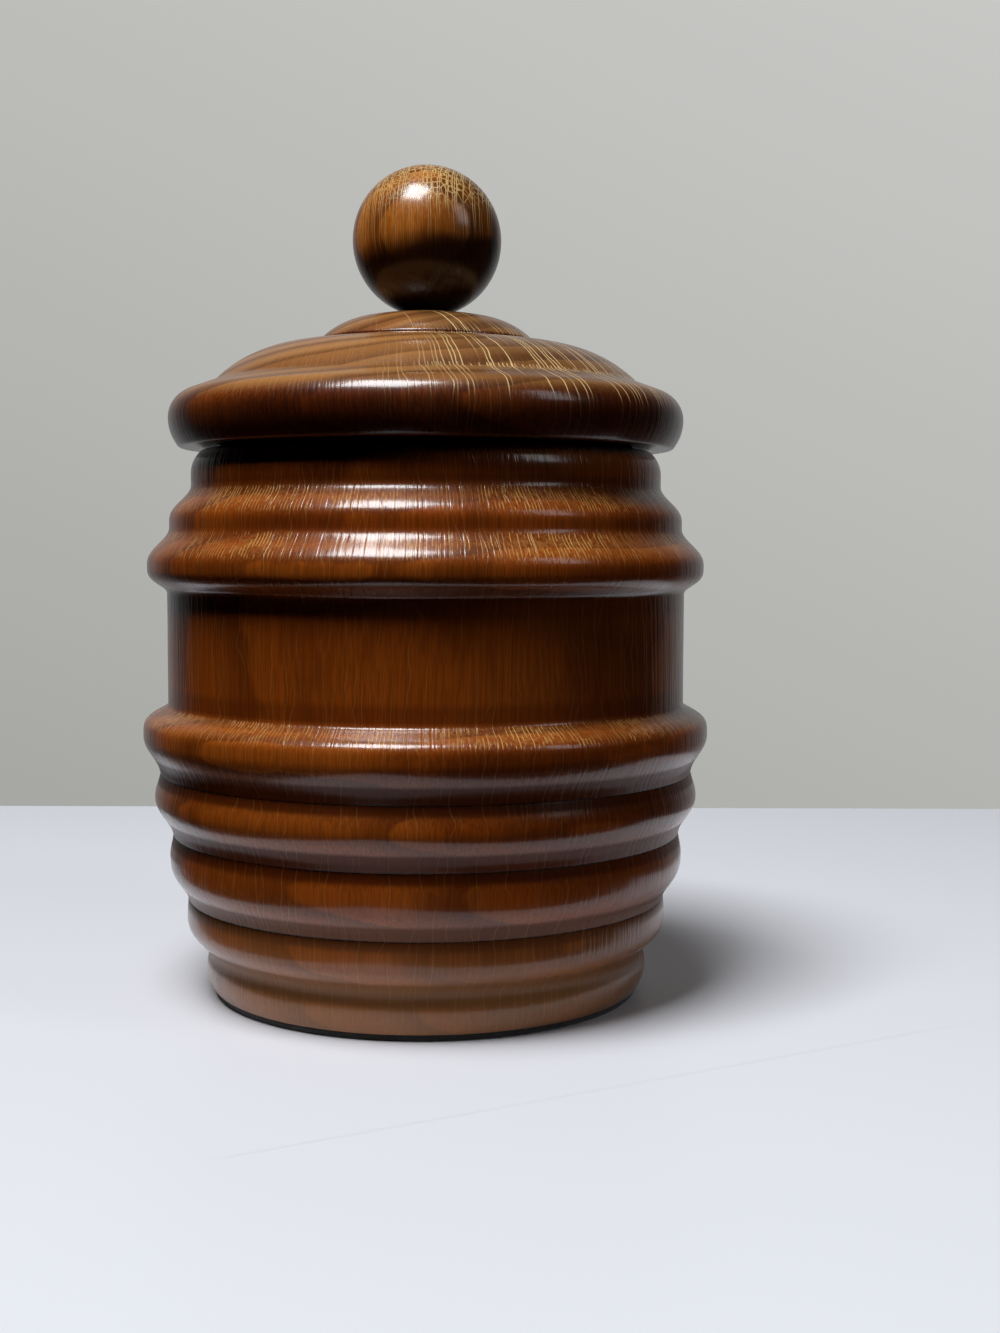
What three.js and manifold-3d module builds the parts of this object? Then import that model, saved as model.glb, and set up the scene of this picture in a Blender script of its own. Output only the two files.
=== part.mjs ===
// Turned oak tobacco jar: a ribbed barrel with a loose glazed liner, and a domed lid with a ball knob
// that carries a humidifier on its underside.
// Millimetres, +Z up, origin at the centre of the felt's underside.

import * as THREE from 'three';
import { mergeVertices } from 'three/addons/utils/BufferGeometryUtils.js';
import Module from 'manifold-3d';

const wasm = await Module();
wasm.setup();

// Outside of the body, from the foot to the mouth. Each turning is a crest or a hollow of the outline:
// out is how far it stands outside the plain band, rise is its height above the turning below it,
// and under and over are the fullness of a crest's lower and upper side, where 1 is an even wave.
const bandRadius = 61.2;
const footBead = { out: -8.5, round: 8.2, underSlope: 128, over: 1 };
const footGroove = { out: -8.9, rise: 3.5 };
const fourthRib = { out: -4, rise: 8.8, under: 1.4, over: 1 };
const thirdHollow = { out: -4.2, rise: 4.2 };
const thirdRib = { out: -0.1, rise: 10.5, under: 1.5, over: 1 };
const secondHollow = { out: -0.8, rise: 4.7 };
const secondRib = { out: 3.25, rise: 8.8, under: 1, over: 1.2 };
const firstHollow = { out: 2.05, rise: 5.8 };
const lowerBead = { out: 5.75, rise: 8.8, under: 1, over: 2.2 };
const bandFoot = { out: 0, rise: 7.4 };
const bandTop = { out: 0, rise: 26 };
const upperBead = { out: 4.55, rise: 6.3, under: 1.8, over: 1.2 };
const stepFoot = { out: -0.65, rise: 8.7 };
const stepTop = { out: -0.65, rise: 1.5, over: 1.2 };
const neckFoot = { out: -5.7, rise: 8.3 };
const neckTop = { out: -5.7, rise: 2.7 };
const mouthLip = { round: 7.2, edgeSlope: 40 };

// Inside of the body: a bore with a rebate round its mouth
const mouthWall = 3.9;
const ledgeWidth = 4;
const floorThickness = 12.5;

// Felt under the foot
const feltThickness = 1.5;
const feltInset = 0.65;

// Glazed liner that hangs by its flange on the ledge, and the loose cork ring on the flange
const linerClearance = 0.6;
const linerFloorGap = 1;
const linerWall = 3.6;
const linerFloor = 4.5;
const linerOuterCorner = 5;
const linerInnerCorner = 7;
const flangeThickness = 3.6;
const flangeClearance = 0.4;
const sealThickness = 2;
const sealProud = 0.6;

// Slopes are in degrees: an upright side is 90, a level underside 180
const uprightSlope = 90;
const undersideSlope = 180;

// Lid, with a spigot that drops into the liner's mouth
const lidOverhang = 7.7;
const rimEdgeRound = 1.2;
const rimUnderSlope = 128;
const rimLowerRound = 10.2;
const rimUpperRound = 6.8;
const shelfSlope = 20;
const shelfWidth = 6.2;
const domeFootSlope = 45.6;
const domeRound = 29.7;
const landSlope = 6.7;
const capRadius = 25.4;
const capStep = 0.6;
const capEdgeSlope = 45.5;
const capEdgeRound = 19;
const capRound = 84;
const spigotClearance = 0.8;
const spigotDepth = 8;

// Ball knob and its tenon
const ballRadius = 17.5;
const knobSeatRadius = 4.9;
const tenonRadius = 4;
const tenonLength = 14;
const tenonClearance = 0.3;
const tenonEndGap = 0.5;

// Humidifier: a perforated pan screwed under the lid, with a clay pad in it and in the recess above
const recessWall = 15;
const recessHeight = 12;
const panWall = 0.8;
const panDepth = 6;
const panFlangeWidth = 7.2;
const padThickness = 16;
const padClearance = 0.6;
const perforationRadius = 1.6;
const perforationSpacing = 5.5;
const perforationMargin = 4;
const perforationsInFirstRing = 6;
const screwCount = 3;
const screwRadius = 1.2;
const screwLength = 8;
const screwHeadRadius = 2.4;
const screwHeadHeight = 1.6;
const screwSlotWidth = 0.7;
const screwSlotDepth = 0.8;
const screwClearance = 0.3;
const screwEndGap = 0.5;

// Fineness of the round shapes
const turnedSides = 40;
const smallSides = 12;
const perforationSides = 8;
const waveSteps = 4;
const roundSteps = 4;
const ballSteps = 14;

// How far a cutting shape runs past the face that it cuts
const cutOvershoot = 1;

// Radii and heights that follow from the sizes above
const radians = THREE.MathUtils.degToRad;
const degrees = THREE.MathUtils.radToDeg;
const turnings = [
  footGroove, fourthRib, thirdHollow, thirdRib, secondHollow, secondRib, firstHollow, lowerBead,
  bandFoot, bandTop, upperBead, stepFoot, stepTop, neckFoot, neckTop,
];
const footRadius = bandRadius + footBead.out;
const footUnderRadius = footRadius - footBead.round * (1 - Math.sin(radians(footBead.underSlope)));
const footCrestHeight = feltThickness - footBead.round * Math.cos(radians(footBead.underSlope));
const neckHeight = turnings.reduce((height, turning) => height + turning.rise, footCrestHeight);
const mouthHeight = neckHeight + mouthLip.round * Math.cos(radians(mouthLip.edgeSlope));
const mouthRadius = bandRadius + neckTop.out - mouthLip.round * (1 - Math.sin(radians(mouthLip.edgeSlope)));
const rebateRadius = mouthRadius - mouthWall;
const boreRadius = rebateRadius - ledgeWidth;
const boreFloorHeight = feltThickness + floorThickness;
const ledgeHeight = mouthHeight + sealProud - sealThickness - flangeThickness;
const linerOuterRadius = boreRadius - linerClearance;
const linerInnerRadius = linerOuterRadius - linerWall;
const flangeRadius = rebateRadius - flangeClearance;
const linerDepth = ledgeHeight - boreFloorHeight - linerFloorGap;
const lidRadius = mouthRadius + lidOverhang;
const spigotRadius = linerInnerRadius - spigotClearance;
const tenonHoleRadius = tenonRadius + tenonClearance;
const recessRadius = spigotRadius - recessWall;
const panOuterRadius = recessRadius + panWall;
const panFlangeRadius = panOuterRadius + panFlangeWidth;
const screwRingRadius = (panOuterRadius + panFlangeRadius) / 2;
const screwHoleRadius = screwRadius + screwClearance;
const perforationReach = recessRadius - perforationMargin - perforationRadius;
const perforationRings = Math.floor(perforationReach / perforationSpacing);

// Points from one turning to the next: half a wave, which leaves both turnings upright.
function wave(low, high) {
  const crestIsLow = low.radius > high.radius;
  const [crest, hollow] = crestIsLow ? [low, high] : [high, low];
  const fullness = crestIsLow ? low.over : high.under;
  const points = [];
  for (let step = 1; step <= waveSteps; step += 1) {
    const share = crestIsLow ? step / waveSteps : 1 - step / waveSteps;
    const swell = (1 + Math.cos(Math.PI * share ** fullness)) / 2;
    const radius = hollow.radius + (crest.radius - hollow.radius) * swell;
    points.push([radius, crest.height + (hollow.height - crest.height) * share]);
  }
  return points;
}

// Points along an arc that starts at a point of the outline and turns from one slope to another.
function roll([radius, height], round, fromSlope, toSlope) {
  const points = [];
  for (let step = 1; step <= roundSteps; step += 1) {
    const slope = radians(fromSlope + (toSlope - fromSlope) * (step / roundSteps));
    points.push([
      radius + round * (Math.sin(slope) - Math.sin(radians(fromSlope))),
      height + round * (Math.cos(slope) - Math.cos(radians(fromSlope))),
    ]);
  }
  return points;
}

// A solid of revolution about Z from an outline of [radius, height] points that runs anticlockwise.
function turned(outline, sides = turnedSides) {
  const points = outline.map(([radius, height]) => new THREE.Vector2(radius, height));
  return new THREE.LatheGeometry(points, sides).rotateX(Math.PI / 2);
}

// The closed solid of a geometry, for cutting. Triangles that shrink to a line on the axis are left out.
function solidOf(geometry) {
  geometry.deleteAttribute('normal');
  geometry.deleteAttribute('uv');
  const merged = mergeVertices(geometry);
  const corners = merged.index.array;
  const triangles = [];
  for (let first = 0; first < corners.length; first += 3) {
    const [a, b, c] = corners.slice(first, first + 3);
    if (a !== b && b !== c && c !== a) {
      triangles.push(a, b, c);
    }
  }
  return new wasm.Manifold(new wasm.Mesh({
    numProp: 3,
    vertProperties: new Float32Array(merged.attributes.position.array),
    triVerts: new Uint32Array(triangles),
  }));
}

// A geometry with other geometries cut out of it.
function cut(geometry, tools) {
  let solid = solidOf(geometry);
  for (const tool of tools) {
    solid = solid.subtract(solidOf(tool));
  }
  const { vertProperties, triVerts } = solid.getMesh();
  const result = new THREE.BufferGeometry();
  result.setAttribute('position', new THREE.BufferAttribute(vertProperties, 3));
  result.setIndex(new THREE.BufferAttribute(triVerts, 1));
  return result;
}

// An upright round hole from one height to another.
function hole(x, y, radius, fromHeight, toHeight, sides) {
  const drill = new THREE.CylinderGeometry(radius, radius, toHeight - fromHeight, sides);
  return drill.rotateX(Math.PI / 2).translate(x, y, (fromHeight + toHeight) / 2);
}

// Places of the humidifier's screws, evenly round the pan's flange.
function screwPlaces() {
  const places = [];
  for (let number = 0; number < screwCount; number += 1) {
    const turn = (2 * Math.PI * number) / screwCount;
    places.push([screwRingRadius * Math.cos(turn), screwRingRadius * Math.sin(turn)]);
  }
  return places;
}

// Outer outline of the body from its underside to the edge of its mouth.
function bodyOutside() {
  const underside = [footUnderRadius, feltThickness];
  const outline = [underside, ...roll(underside, footBead.round, footBead.underSlope, uprightSlope)];
  let low = { ...footBead, radius: footRadius, height: footCrestHeight };
  for (const turning of turnings) {
    const high = { ...turning, radius: bandRadius + turning.out, height: low.height + turning.rise };
    if (high.radius === low.radius) {
      outline.push([high.radius, high.height]);
    } else {
      outline.push(...wave(low, high));
    }
    low = high;
  }
  outline.push(...roll([low.radius, low.height], mouthLip.round, uprightSlope, mouthLip.edgeSlope));
  return outline;
}

function jarBody() {
  return turned([
    [0, feltThickness],
    ...bodyOutside(),
    [rebateRadius, mouthHeight],
    [rebateRadius, ledgeHeight],
    [boreRadius, ledgeHeight],
    [boreRadius, boreFloorHeight],
    [0, boreFloorHeight],
  ]);
}

function baseFelt() {
  const feltRadius = footUnderRadius - feltInset;
  return turned([[0, 0], [feltRadius, 0], [feltRadius, feltThickness], [0, feltThickness]]);
}

// Heights in the liner are measured from the underside of its flange.
function liner() {
  const underside = [linerOuterRadius - linerOuterCorner, -linerDepth];
  const innerFloor = linerFloor - linerDepth;
  const wallFoot = [linerInnerRadius, innerFloor + linerInnerCorner];
  return turned([
    [0, -linerDepth],
    underside,
    ...roll(underside, linerOuterCorner, undersideSlope, uprightSlope),
    [linerOuterRadius, 0],
    [flangeRadius, 0],
    [flangeRadius, flangeThickness],
    [linerInnerRadius, flangeThickness],
    wallFoot,
    ...roll(wallFoot, linerInnerCorner, uprightSlope, undersideSlope),
    [0, innerFloor],
  ]);
}

// The ring lies on the flange, and its hole lines up with the liner's mouth.
function lidSeal() {
  return turned([
    [linerInnerRadius, 0],
    [flangeRadius, 0],
    [flangeRadius, sealThickness],
    [linerInnerRadius, sealThickness],
    [linerInnerRadius, 0],
  ]);
}

// Outer outline of the lid from the outer edge of its flat underside to the flat under the knob: a rounded
// rim, a sloping shelf, a dome with a nearly level land on top, and a low cap with an upright step at its
// foot. The cap's edge rolls into a flatter crown, which is centred on the axis.
// Heights in the lid are measured from the flat underside, which rests on the seal.
function lidOutside() {
  const underSine = Math.sin(radians(rimUnderSlope));
  const undersideRadius = lidRadius - rimLowerRound * (1 - underSine) - rimEdgeRound * underSine;
  const outline = [[undersideRadius, 0]];
  const end = () => outline[outline.length - 1];
  outline.push(...roll(end(), rimEdgeRound, undersideSlope, rimUnderSlope));
  outline.push(...roll(end(), rimLowerRound, rimUnderSlope, uprightSlope));
  outline.push(...roll(end(), rimUpperRound, uprightSlope, shelfSlope));
  const [shelfEdge, shelfHeight] = end();
  outline.push([shelfEdge - shelfWidth, shelfHeight + shelfWidth * Math.tan(radians(shelfSlope))]);
  outline.push(...roll(end(), domeRound, domeFootSlope, landSlope));
  const [landEdge, landHeight] = end();
  const capFoot = landHeight + (landEdge - capRadius) * Math.tan(radians(landSlope));
  outline.push([capRadius, capFoot], [capRadius, capFoot + capStep]);
  const edgeCentre = capRadius - capEdgeRound * Math.sin(radians(capEdgeSlope));
  const crownSlope = degrees(Math.asin(edgeCentre / (capRound - capEdgeRound)));
  outline.push(...roll(end(), capEdgeRound, capEdgeSlope, crownSlope));
  outline.push(...roll(end(), capRound, crownSlope, degrees(Math.asin(knobSeatRadius / capRound))));
  return outline;
}

const lidOutline = lidOutside();
const lidTopHeight = lidOutline[lidOutline.length - 1][1];

function lid() {
  const tenonHoleFloor = lidTopHeight - tenonLength - tenonEndGap;
  const blank = turned([
    [0, recessHeight - spigotDepth],
    [recessRadius, recessHeight - spigotDepth],
    [recessRadius, -spigotDepth],
    [spigotRadius, -spigotDepth],
    [spigotRadius, 0],
    ...lidOutline,
    [tenonHoleRadius, lidTopHeight],
    [tenonHoleRadius, tenonHoleFloor],
    [0, tenonHoleFloor],
  ]);
  const pilotTop = screwLength - panWall + screwEndGap - spigotDepth;
  const pilotHoles = screwPlaces().map(
    ([x, y]) => hole(x, y, screwHoleRadius, -spigotDepth - cutOvershoot, pilotTop, smallSides),
  );
  return cut(blank, pilotHoles);
}

// Heights in the knob are measured from the flat that it sits on.
function knob() {
  const centreHeight = Math.sqrt(ballRadius ** 2 - knobSeatRadius ** 2);
  const seatAngle = Math.asin(centreHeight / ballRadius);
  const outline = [[0, -tenonLength], [tenonRadius, -tenonLength], [tenonRadius, 0], [knobSeatRadius, 0]];
  for (let step = 1; step < ballSteps; step += 1) {
    const angle = -seatAngle + (seatAngle + Math.PI / 2) * (step / ballSteps);
    outline.push([ballRadius * Math.cos(angle), centreHeight + ballRadius * Math.sin(angle)]);
  }
  outline.push([0, centreHeight + ballRadius]);
  return turned(outline);
}

// Heights in the humidifier are measured from the underside of the lid's spigot.
function humidifierCap() {
  const pan = turned([
    [0, -panDepth - panWall],
    [panOuterRadius, -panDepth - panWall],
    [panOuterRadius, -panWall],
    [panFlangeRadius, -panWall],
    [panFlangeRadius, 0],
    [recessRadius, 0],
    [recessRadius, -panDepth],
    [0, -panDepth],
  ]);
  const floorHole = (x, y) => hole(
    x, y, perforationRadius, -panDepth - panWall - cutOvershoot, -panDepth + cutOvershoot, perforationSides,
  );
  const cuts = [floorHole(0, 0)];
  for (let ring = 1; ring <= perforationRings; ring += 1) {
    const count = perforationsInFirstRing * ring;
    for (let number = 0; number < count; number += 1) {
      const turn = (2 * Math.PI * number) / count;
      const distance = perforationSpacing * ring;
      cuts.push(floorHole(distance * Math.cos(turn), distance * Math.sin(turn)));
    }
  }
  for (const [x, y] of screwPlaces()) {
    cuts.push(hole(x, y, screwHoleRadius, -panWall - cutOvershoot, cutOvershoot, smallSides));
  }
  return cut(pan, cuts);
}

function humidifierPad() {
  const radius = recessRadius - padClearance;
  const top = padThickness - panDepth;
  return turned([[0, -panDepth], [radius, -panDepth], [radius, top], [0, top]]);
}

// A slotted screw with a low round head. Heights are measured from the underside of the pan's flange.
function humidifierScrew() {
  const crown = [];
  for (let step = 0; step < roundSteps; step += 1) {
    const angle = (Math.PI / 2) * (1 - step / roundSteps);
    crown.push([screwHeadRadius * Math.cos(angle), -screwHeadHeight * Math.sin(angle)]);
  }
  const screw = turned([
    ...crown,
    [screwHeadRadius, 0],
    [screwRadius, 0],
    [screwRadius, screwLength - screwRadius],
    [0, screwLength],
  ], smallSides);
  const slot = new THREE.BoxGeometry(2 * screwHeadRadius + cutOvershoot, screwSlotWidth, 2 * screwSlotDepth);
  return cut(screw, [slot.translate(0, 0, -screwHeadHeight)]);
}

const oak = { color: 0x7a4516, roughness: 0.3, metalness: 0 };
const felt = { color: 0x14110f, roughness: 1, metalness: 0 };
const glaze = { color: 0xe6dfcb, roughness: 0.2, metalness: 0 };
const cork = { color: 0xb58a5c, roughness: 0.9, metalness: 0 };
const brass = { color: 0xb08d45, roughness: 0.35, metalness: 1 };
const clay = { color: 0xb4674a, roughness: 0.95, metalness: 0 };

function piece(name, geometry, finish) {
  const mesh = new THREE.Mesh(geometry, new THREE.MeshStandardMaterial(finish));
  mesh.name = name;
  return mesh;
}

// The humidifier hangs under the lid's spigot.
function humidifierAssembly() {
  const group = new THREE.Group();
  group.position.z = -spigotDepth;
  group.add(piece('humidifier_cap', humidifierCap(), brass));
  group.add(piece('humidifier_pad', humidifierPad(), clay));
  screwPlaces().forEach(([x, y], index) => {
    const screw = piece(`humidifier_screw_${index + 1}`, humidifierScrew(), brass);
    screw.position.set(x, y, -panWall);
    group.add(screw);
  });
  return group;
}

// The lid and what is fixed to it rest on the seal.
function lidAssembly() {
  const group = new THREE.Group();
  group.position.z = sealThickness;
  const ball = piece('knob', knob(), oak);
  ball.position.z = lidTopHeight;
  group.add(piece('lid', lid(), oak), ball, humidifierAssembly());
  return group;
}

// The seal lies on the liner's flange and carries the lid.
function sealAssembly() {
  const group = new THREE.Group();
  group.position.z = flangeThickness;
  group.add(piece('lid_seal', lidSeal(), cork), lidAssembly());
  return group;
}

// The liner hangs on the ledge of the mouth and carries the seal.
function linerAssembly() {
  const group = new THREE.Group();
  group.position.z = ledgeHeight;
  group.add(piece('liner', liner(), glaze), sealAssembly());
  return group;
}

const jar = new THREE.Group();
jar.add(piece('jar_body', jarBody(), oak), piece('base_felt', baseFelt(), felt), linerAssembly());

export default jar;
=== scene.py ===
"""Looks of a turned oak tobacco jar: a ribbed barrel with a glazed liner, and a domed lid with a ball knob.

Sizes are in millimetres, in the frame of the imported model, and become metres where a mesh is made.
"""

import logging
import math
from dataclasses import dataclass, field
from enum import Enum
from typing import Callable, Iterator, Optional, Union

import bmesh
import bpy
from mathutils import Euler, Matrix, Vector, kdtree, noise


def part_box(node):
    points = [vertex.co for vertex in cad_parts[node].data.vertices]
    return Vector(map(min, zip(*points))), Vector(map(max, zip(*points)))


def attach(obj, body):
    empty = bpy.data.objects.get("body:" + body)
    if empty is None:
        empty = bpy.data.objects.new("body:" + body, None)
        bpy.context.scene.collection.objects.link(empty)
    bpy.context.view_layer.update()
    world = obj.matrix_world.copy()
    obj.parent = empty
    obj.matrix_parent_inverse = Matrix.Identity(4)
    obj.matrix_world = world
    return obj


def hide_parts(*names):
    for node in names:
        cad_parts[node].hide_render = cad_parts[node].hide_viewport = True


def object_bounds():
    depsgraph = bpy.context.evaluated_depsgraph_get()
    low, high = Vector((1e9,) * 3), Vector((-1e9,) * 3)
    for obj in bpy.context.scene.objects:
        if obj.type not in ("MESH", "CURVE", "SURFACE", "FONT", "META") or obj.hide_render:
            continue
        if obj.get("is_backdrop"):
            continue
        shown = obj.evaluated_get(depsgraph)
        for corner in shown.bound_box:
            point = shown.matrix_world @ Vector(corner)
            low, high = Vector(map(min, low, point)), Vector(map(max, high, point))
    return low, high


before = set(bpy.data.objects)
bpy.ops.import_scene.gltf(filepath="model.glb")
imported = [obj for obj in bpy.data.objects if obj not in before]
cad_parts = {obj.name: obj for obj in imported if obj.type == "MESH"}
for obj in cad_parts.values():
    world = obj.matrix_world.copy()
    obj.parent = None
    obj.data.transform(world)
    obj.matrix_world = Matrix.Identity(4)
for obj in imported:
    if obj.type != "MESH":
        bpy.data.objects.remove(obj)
CAD_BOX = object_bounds()

LOG = logging.getLogger("tobacco_jar")
MM = 0.001
PER_METRE = 1000.0
UPRIGHT = 90.0
UNDERSIDE = 180.0
MERGE_DISTANCE = 1e-7
SEAM_DISTANCE = 2e-6
SMOOTH_ANGLE = 35.0
FACE_MARGIN = 0.2

Point = tuple[float, float]
Triple = tuple[float, float, float]
Colour = tuple[float, float, float, float]
Shape = bmesh.types.BMesh
Piece = bpy.types.Object
Material = bpy.types.Material
Socket = bpy.types.NodeSocket
Wire = Union[Socket, float, tuple]
Region = Callable[[float, float], bool]


class Slot(Enum):
    """Material slots of the record."""

    OAK = "oak"
    FELT = "felt"
    GLAZE = "glaze"
    CORK = "cork"
    BRASS = "brass"
    CLAY = "clay"


class Rider(Enum):
    """Bodies that a piece can move with."""

    JAR = "jar"
    LINER = "liner"
    SEAL = "lid_seal"
    LID = "lid"


class Outline:
    """Half section of a turned piece, drawn anticlockwise as a turner's tool moves over it."""

    def __init__(self, radius: float, height: float, pitch: float = 0.8) -> None:
        """Starts the outline.

        Args:
            radius: Radius of the first point.
            height: Height of the first point.
            pitch: Longest step along a curve.
        """
        self.points: list[Point] = [(radius, height)]
        self.scored: set[int] = set()
        self.pitch = pitch

    @property
    def end(self) -> Point:
        """Where the tool is now."""
        return self.points[-1]

    def steps(self, length: float, least: int = 3) -> int:
        """Number of steps in a curve of that length."""
        return max(least, math.ceil(length / self.pitch))

    def line(self, radius: float, height: float, divided: bool = False) -> "Outline":
        """Cuts straight to a point.

        Args:
            radius: Radius to end at.
            height: Height to end at.
            divided: Whether the run has points along it.

        Returns:
            The outline, so that cuts follow each other.
        """
        from_radius, from_height = self.end
        length = math.hypot(radius - from_radius, height - from_height)
        count = self.steps(length, 1) if divided else 1
        for step in range(1, count + 1):
            share = step / count
            self.points.append((
                from_radius + (radius - from_radius) * share,
                from_height + (height - from_height) * share,
            ))
        return self

    def roll(self, rounding: float, from_slope: float, to_slope: float) -> "Outline":
        """Cuts an arc that turns from one slope to another.

        Args:
            rounding: Radius of the arc.
            from_slope: Slope in degrees at its start, where an upright side is 90.
            to_slope: Slope in degrees at its end.

        Returns:
            The outline.
        """
        radius, height = self.end
        start, turn = math.radians(from_slope), math.radians(to_slope - from_slope)
        count = self.steps(abs(turn) * rounding)
        for step in range(1, count + 1):
            slope = start + turn * step / count
            self.points.append((
                radius + rounding * (math.sin(slope) - math.sin(start)),
                height + rounding * (math.cos(slope) - math.cos(start)),
            ))
        return self

    def wave(self, radius: float, height: float, fullness: float) -> "Outline":
        """Cuts half a wave, which leaves both ends upright.

        Args:
            radius: Radius to end at.
            height: Height to end at.
            fullness: How full the crest's side is, where 1 is an even wave.

        Returns:
            The outline.
        """
        from_radius, from_height = self.end
        from_crest = from_radius > radius
        crest, hollow = max(from_radius, radius), min(from_radius, radius)
        count = self.steps(math.hypot(radius - from_radius, height - from_height))
        for step in range(1, count + 1):
            along = step / count
            share = along if from_crest else 1 - along
            swell = (1 + math.cos(math.pi * share ** fullness)) / 2
            self.points.append((
                hollow + (crest - hollow) * swell,
                from_height + (height - from_height) * along,
            ))
        return self

    def score(self) -> None:
        """Notes that the point of the tool left a line here."""
        self.scored.add(len(self.points) - 1)

    def sink_lines(self, depth: float) -> None:
        """Cuts the noted lines.

        Args:
            depth: How deep they are cut.
        """
        for number in self.scored:
            radius, height = self.points[number]
            self.points[number] = (radius - depth, height)

    def nooks(self, reach: float) -> list[float]:
        """How hollow the outline is at each point.

        Args:
            reach: How far along the outline the two neighbours lie that a point is compared with.

        Returns:
            Values above 0 in a nook and below 0 on a crest.
        """
        lengths = [0.0]
        for (r0, z0), (r1, z1) in zip(self.points, self.points[1:]):
            lengths.append(lengths[-1] + math.hypot(r1 - r0, z1 - z0))
        values = []
        for (radius, height), length in zip(self.points, lengths):
            back = self._along(lengths, length - reach)
            ahead = self._along(lengths, length + reach)
            run, rise = ahead[0] - back[0], ahead[1] - back[1]
            middle = ((back[0] + ahead[0]) / 2 - radius, (back[1] + ahead[1]) / 2 - height)
            outward = middle[0] * rise - middle[1] * run
            values.append(outward / max(math.hypot(run, rise), reach) / reach)
        return values

    def _along(self, lengths: list[float], length: float) -> Point:
        """Finds the point at a length along the outline.

        Args:
            lengths: Length from the start to each point.
            length: Length to go.

        Returns:
            The point, or the nearer end where the length is past it.
        """
        length = min(max(length, 0.0), lengths[-1])
        number = next(i for i in range(1, len(lengths)) if lengths[i] >= length)
        share = (length - lengths[number - 1]) / max(lengths[number] - lengths[number - 1], MERGE_DISTANCE)
        (r0, z0), (r1, z1) = self.points[number - 1], self.points[number]
        return r0 + (r1 - r0) * share, z0 + (z1 - z0) * share


def spin(shape: Shape, outline: Outline, sides: int, merge: float) -> None:
    """Turns an outline about the upright axis, and makes the whole shape face outwards.

    Args:
        shape: The shape that the turned skin is added to.
        outline: The half section.
        sides: Number of steps in a full turn.
        merge: Distance in metres at which corners become one.
    """
    chain = [shape.verts.new((radius * MM, 0, height * MM)) for radius, height in outline.points]
    links = [shape.edges.new(pair) for pair in zip(chain, chain[1:])]
    bmesh.ops.spin(
        shape, geom=chain + links, cent=(0, 0, 0), axis=(0, 0, 1), dvec=(0, 0, 0),
        angle=2 * math.pi, steps=sides, use_merge=True, use_duplicate=False,
    )
    bmesh.ops.remove_doubles(shape, verts=shape.verts, dist=merge)
    bmesh.ops.recalc_face_normals(shape, faces=shape.faces)


@dataclass
class Turned:
    """A piece made by turning an outline about the upright axis.

    Attributes:
        name: Name of the object.
        outline: Half section, from axis to axis or closed on itself.
        sides: Number of steps in a full turn.
        edge_round: Size of the rounding on sharp edges.
        sharp_angle: Least angle in degrees at which an edge is sharp.
        wander: How far a hand-finished skin dips below the true outline.
        wander_size: Width of those dips.
        skin: Tells where the skin is hand-finished, from a radius and a height.
    """

    name: str
    outline: Outline
    sides: int
    edge_round: float = 0.3
    sharp_angle: float = 38.0
    wander: float = 0.0
    wander_size: float = 11.0
    skin: Optional[Region] = None

    NOOK_REACH = 1.6
    HOLLOW_REACH = 6.0
    EDGE_SEGMENTS = 3

    def build(self) -> Piece:
        """Makes the object.

        Returns:
            The object, with its nooks, hollows and tool lines in attributes.
        """
        shape = bmesh.new()
        spin(shape, self.outline, self.sides, MERGE_DISTANCE)
        self._soften(shape)
        if self.wander and self.skin:
            self._wander(shape)
        self._mark(shape)
        return placed(self.name, shape, SMOOTH_ANGLE)

    def _soften(self, shape: Shape) -> None:
        """Rounds the sharp edges.

        Args:
            shape: The piece's shape.
        """
        limit = math.radians(self.sharp_angle)
        sharp = [edge for edge in shape.edges if edge.is_manifold and edge.calc_face_angle() > limit]
        if sharp and self.edge_round:
            bmesh.ops.bevel(
                shape, geom=sharp, offset=self.edge_round * MM, offset_type="OFFSET", affect="EDGES",
                segments=self.EDGE_SEGMENTS, profile=0.5, clamp_overlap=True, material=-1,
            )

    def _wander(self, shape: Shape) -> None:
        """Lets the hand-finished skin dip a little below the true outline.

        Args:
            shape: The piece's shape.
        """
        for vert in shape.verts:
            radius = vert.co.xy.length / MM
            if self.skin(radius, vert.co.z / MM):
                dip = self.wander * (1 + noise.noise(vert.co / (self.wander_size * MM))) / 2
                vert.co.xy *= 1 - dip / radius

    def _mark(self, shape: Shape) -> None:
        """Writes nooks, hollows and tool lines to each corner of the mesh.

        Args:
            shape: The piece's shape.
        """
        marks = {
            "nook": self.outline.nooks(self.NOOK_REACH),
            "hollow": self.outline.nooks(self.HOLLOW_REACH),
            "tool_line": [float(number in self.outline.scored) for number in range(len(self.outline.points))],
        }
        tree = kdtree.KDTree(len(self.outline.points))
        for number, (radius, height) in enumerate(self.outline.points):
            tree.insert((radius, 0, height), number)
        tree.balance()
        nearest = [tree.find((vert.co.xy.length / MM, 0, vert.co.z / MM))[1] for vert in shape.verts]
        for name, values in marks.items():
            layer = shape.verts.layers.float.new(name)
            for vert, number in zip(shape.verts, nearest):
                vert[layer] = values[number]


def placed(name: str, shape: Shape, smooth_angle: float) -> Piece:
    """Puts a finished shape into the scene.

    Args:
        name: Name of the object.
        shape: Its shape in metres, which is freed.
        smooth_angle: Angle in degrees over which an edge shows as an edge.

    Returns:
        The object, at the origin.
    """
    mesh = bpy.data.meshes.new(name)
    shape.to_mesh(mesh)
    shape.free()
    mesh.shade_smooth()
    mesh.set_sharp_from_angle(angle=math.radians(smooth_angle))
    piece = bpy.data.objects.new(name, mesh)
    bpy.context.scene.collection.objects.link(piece)
    return piece


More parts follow.
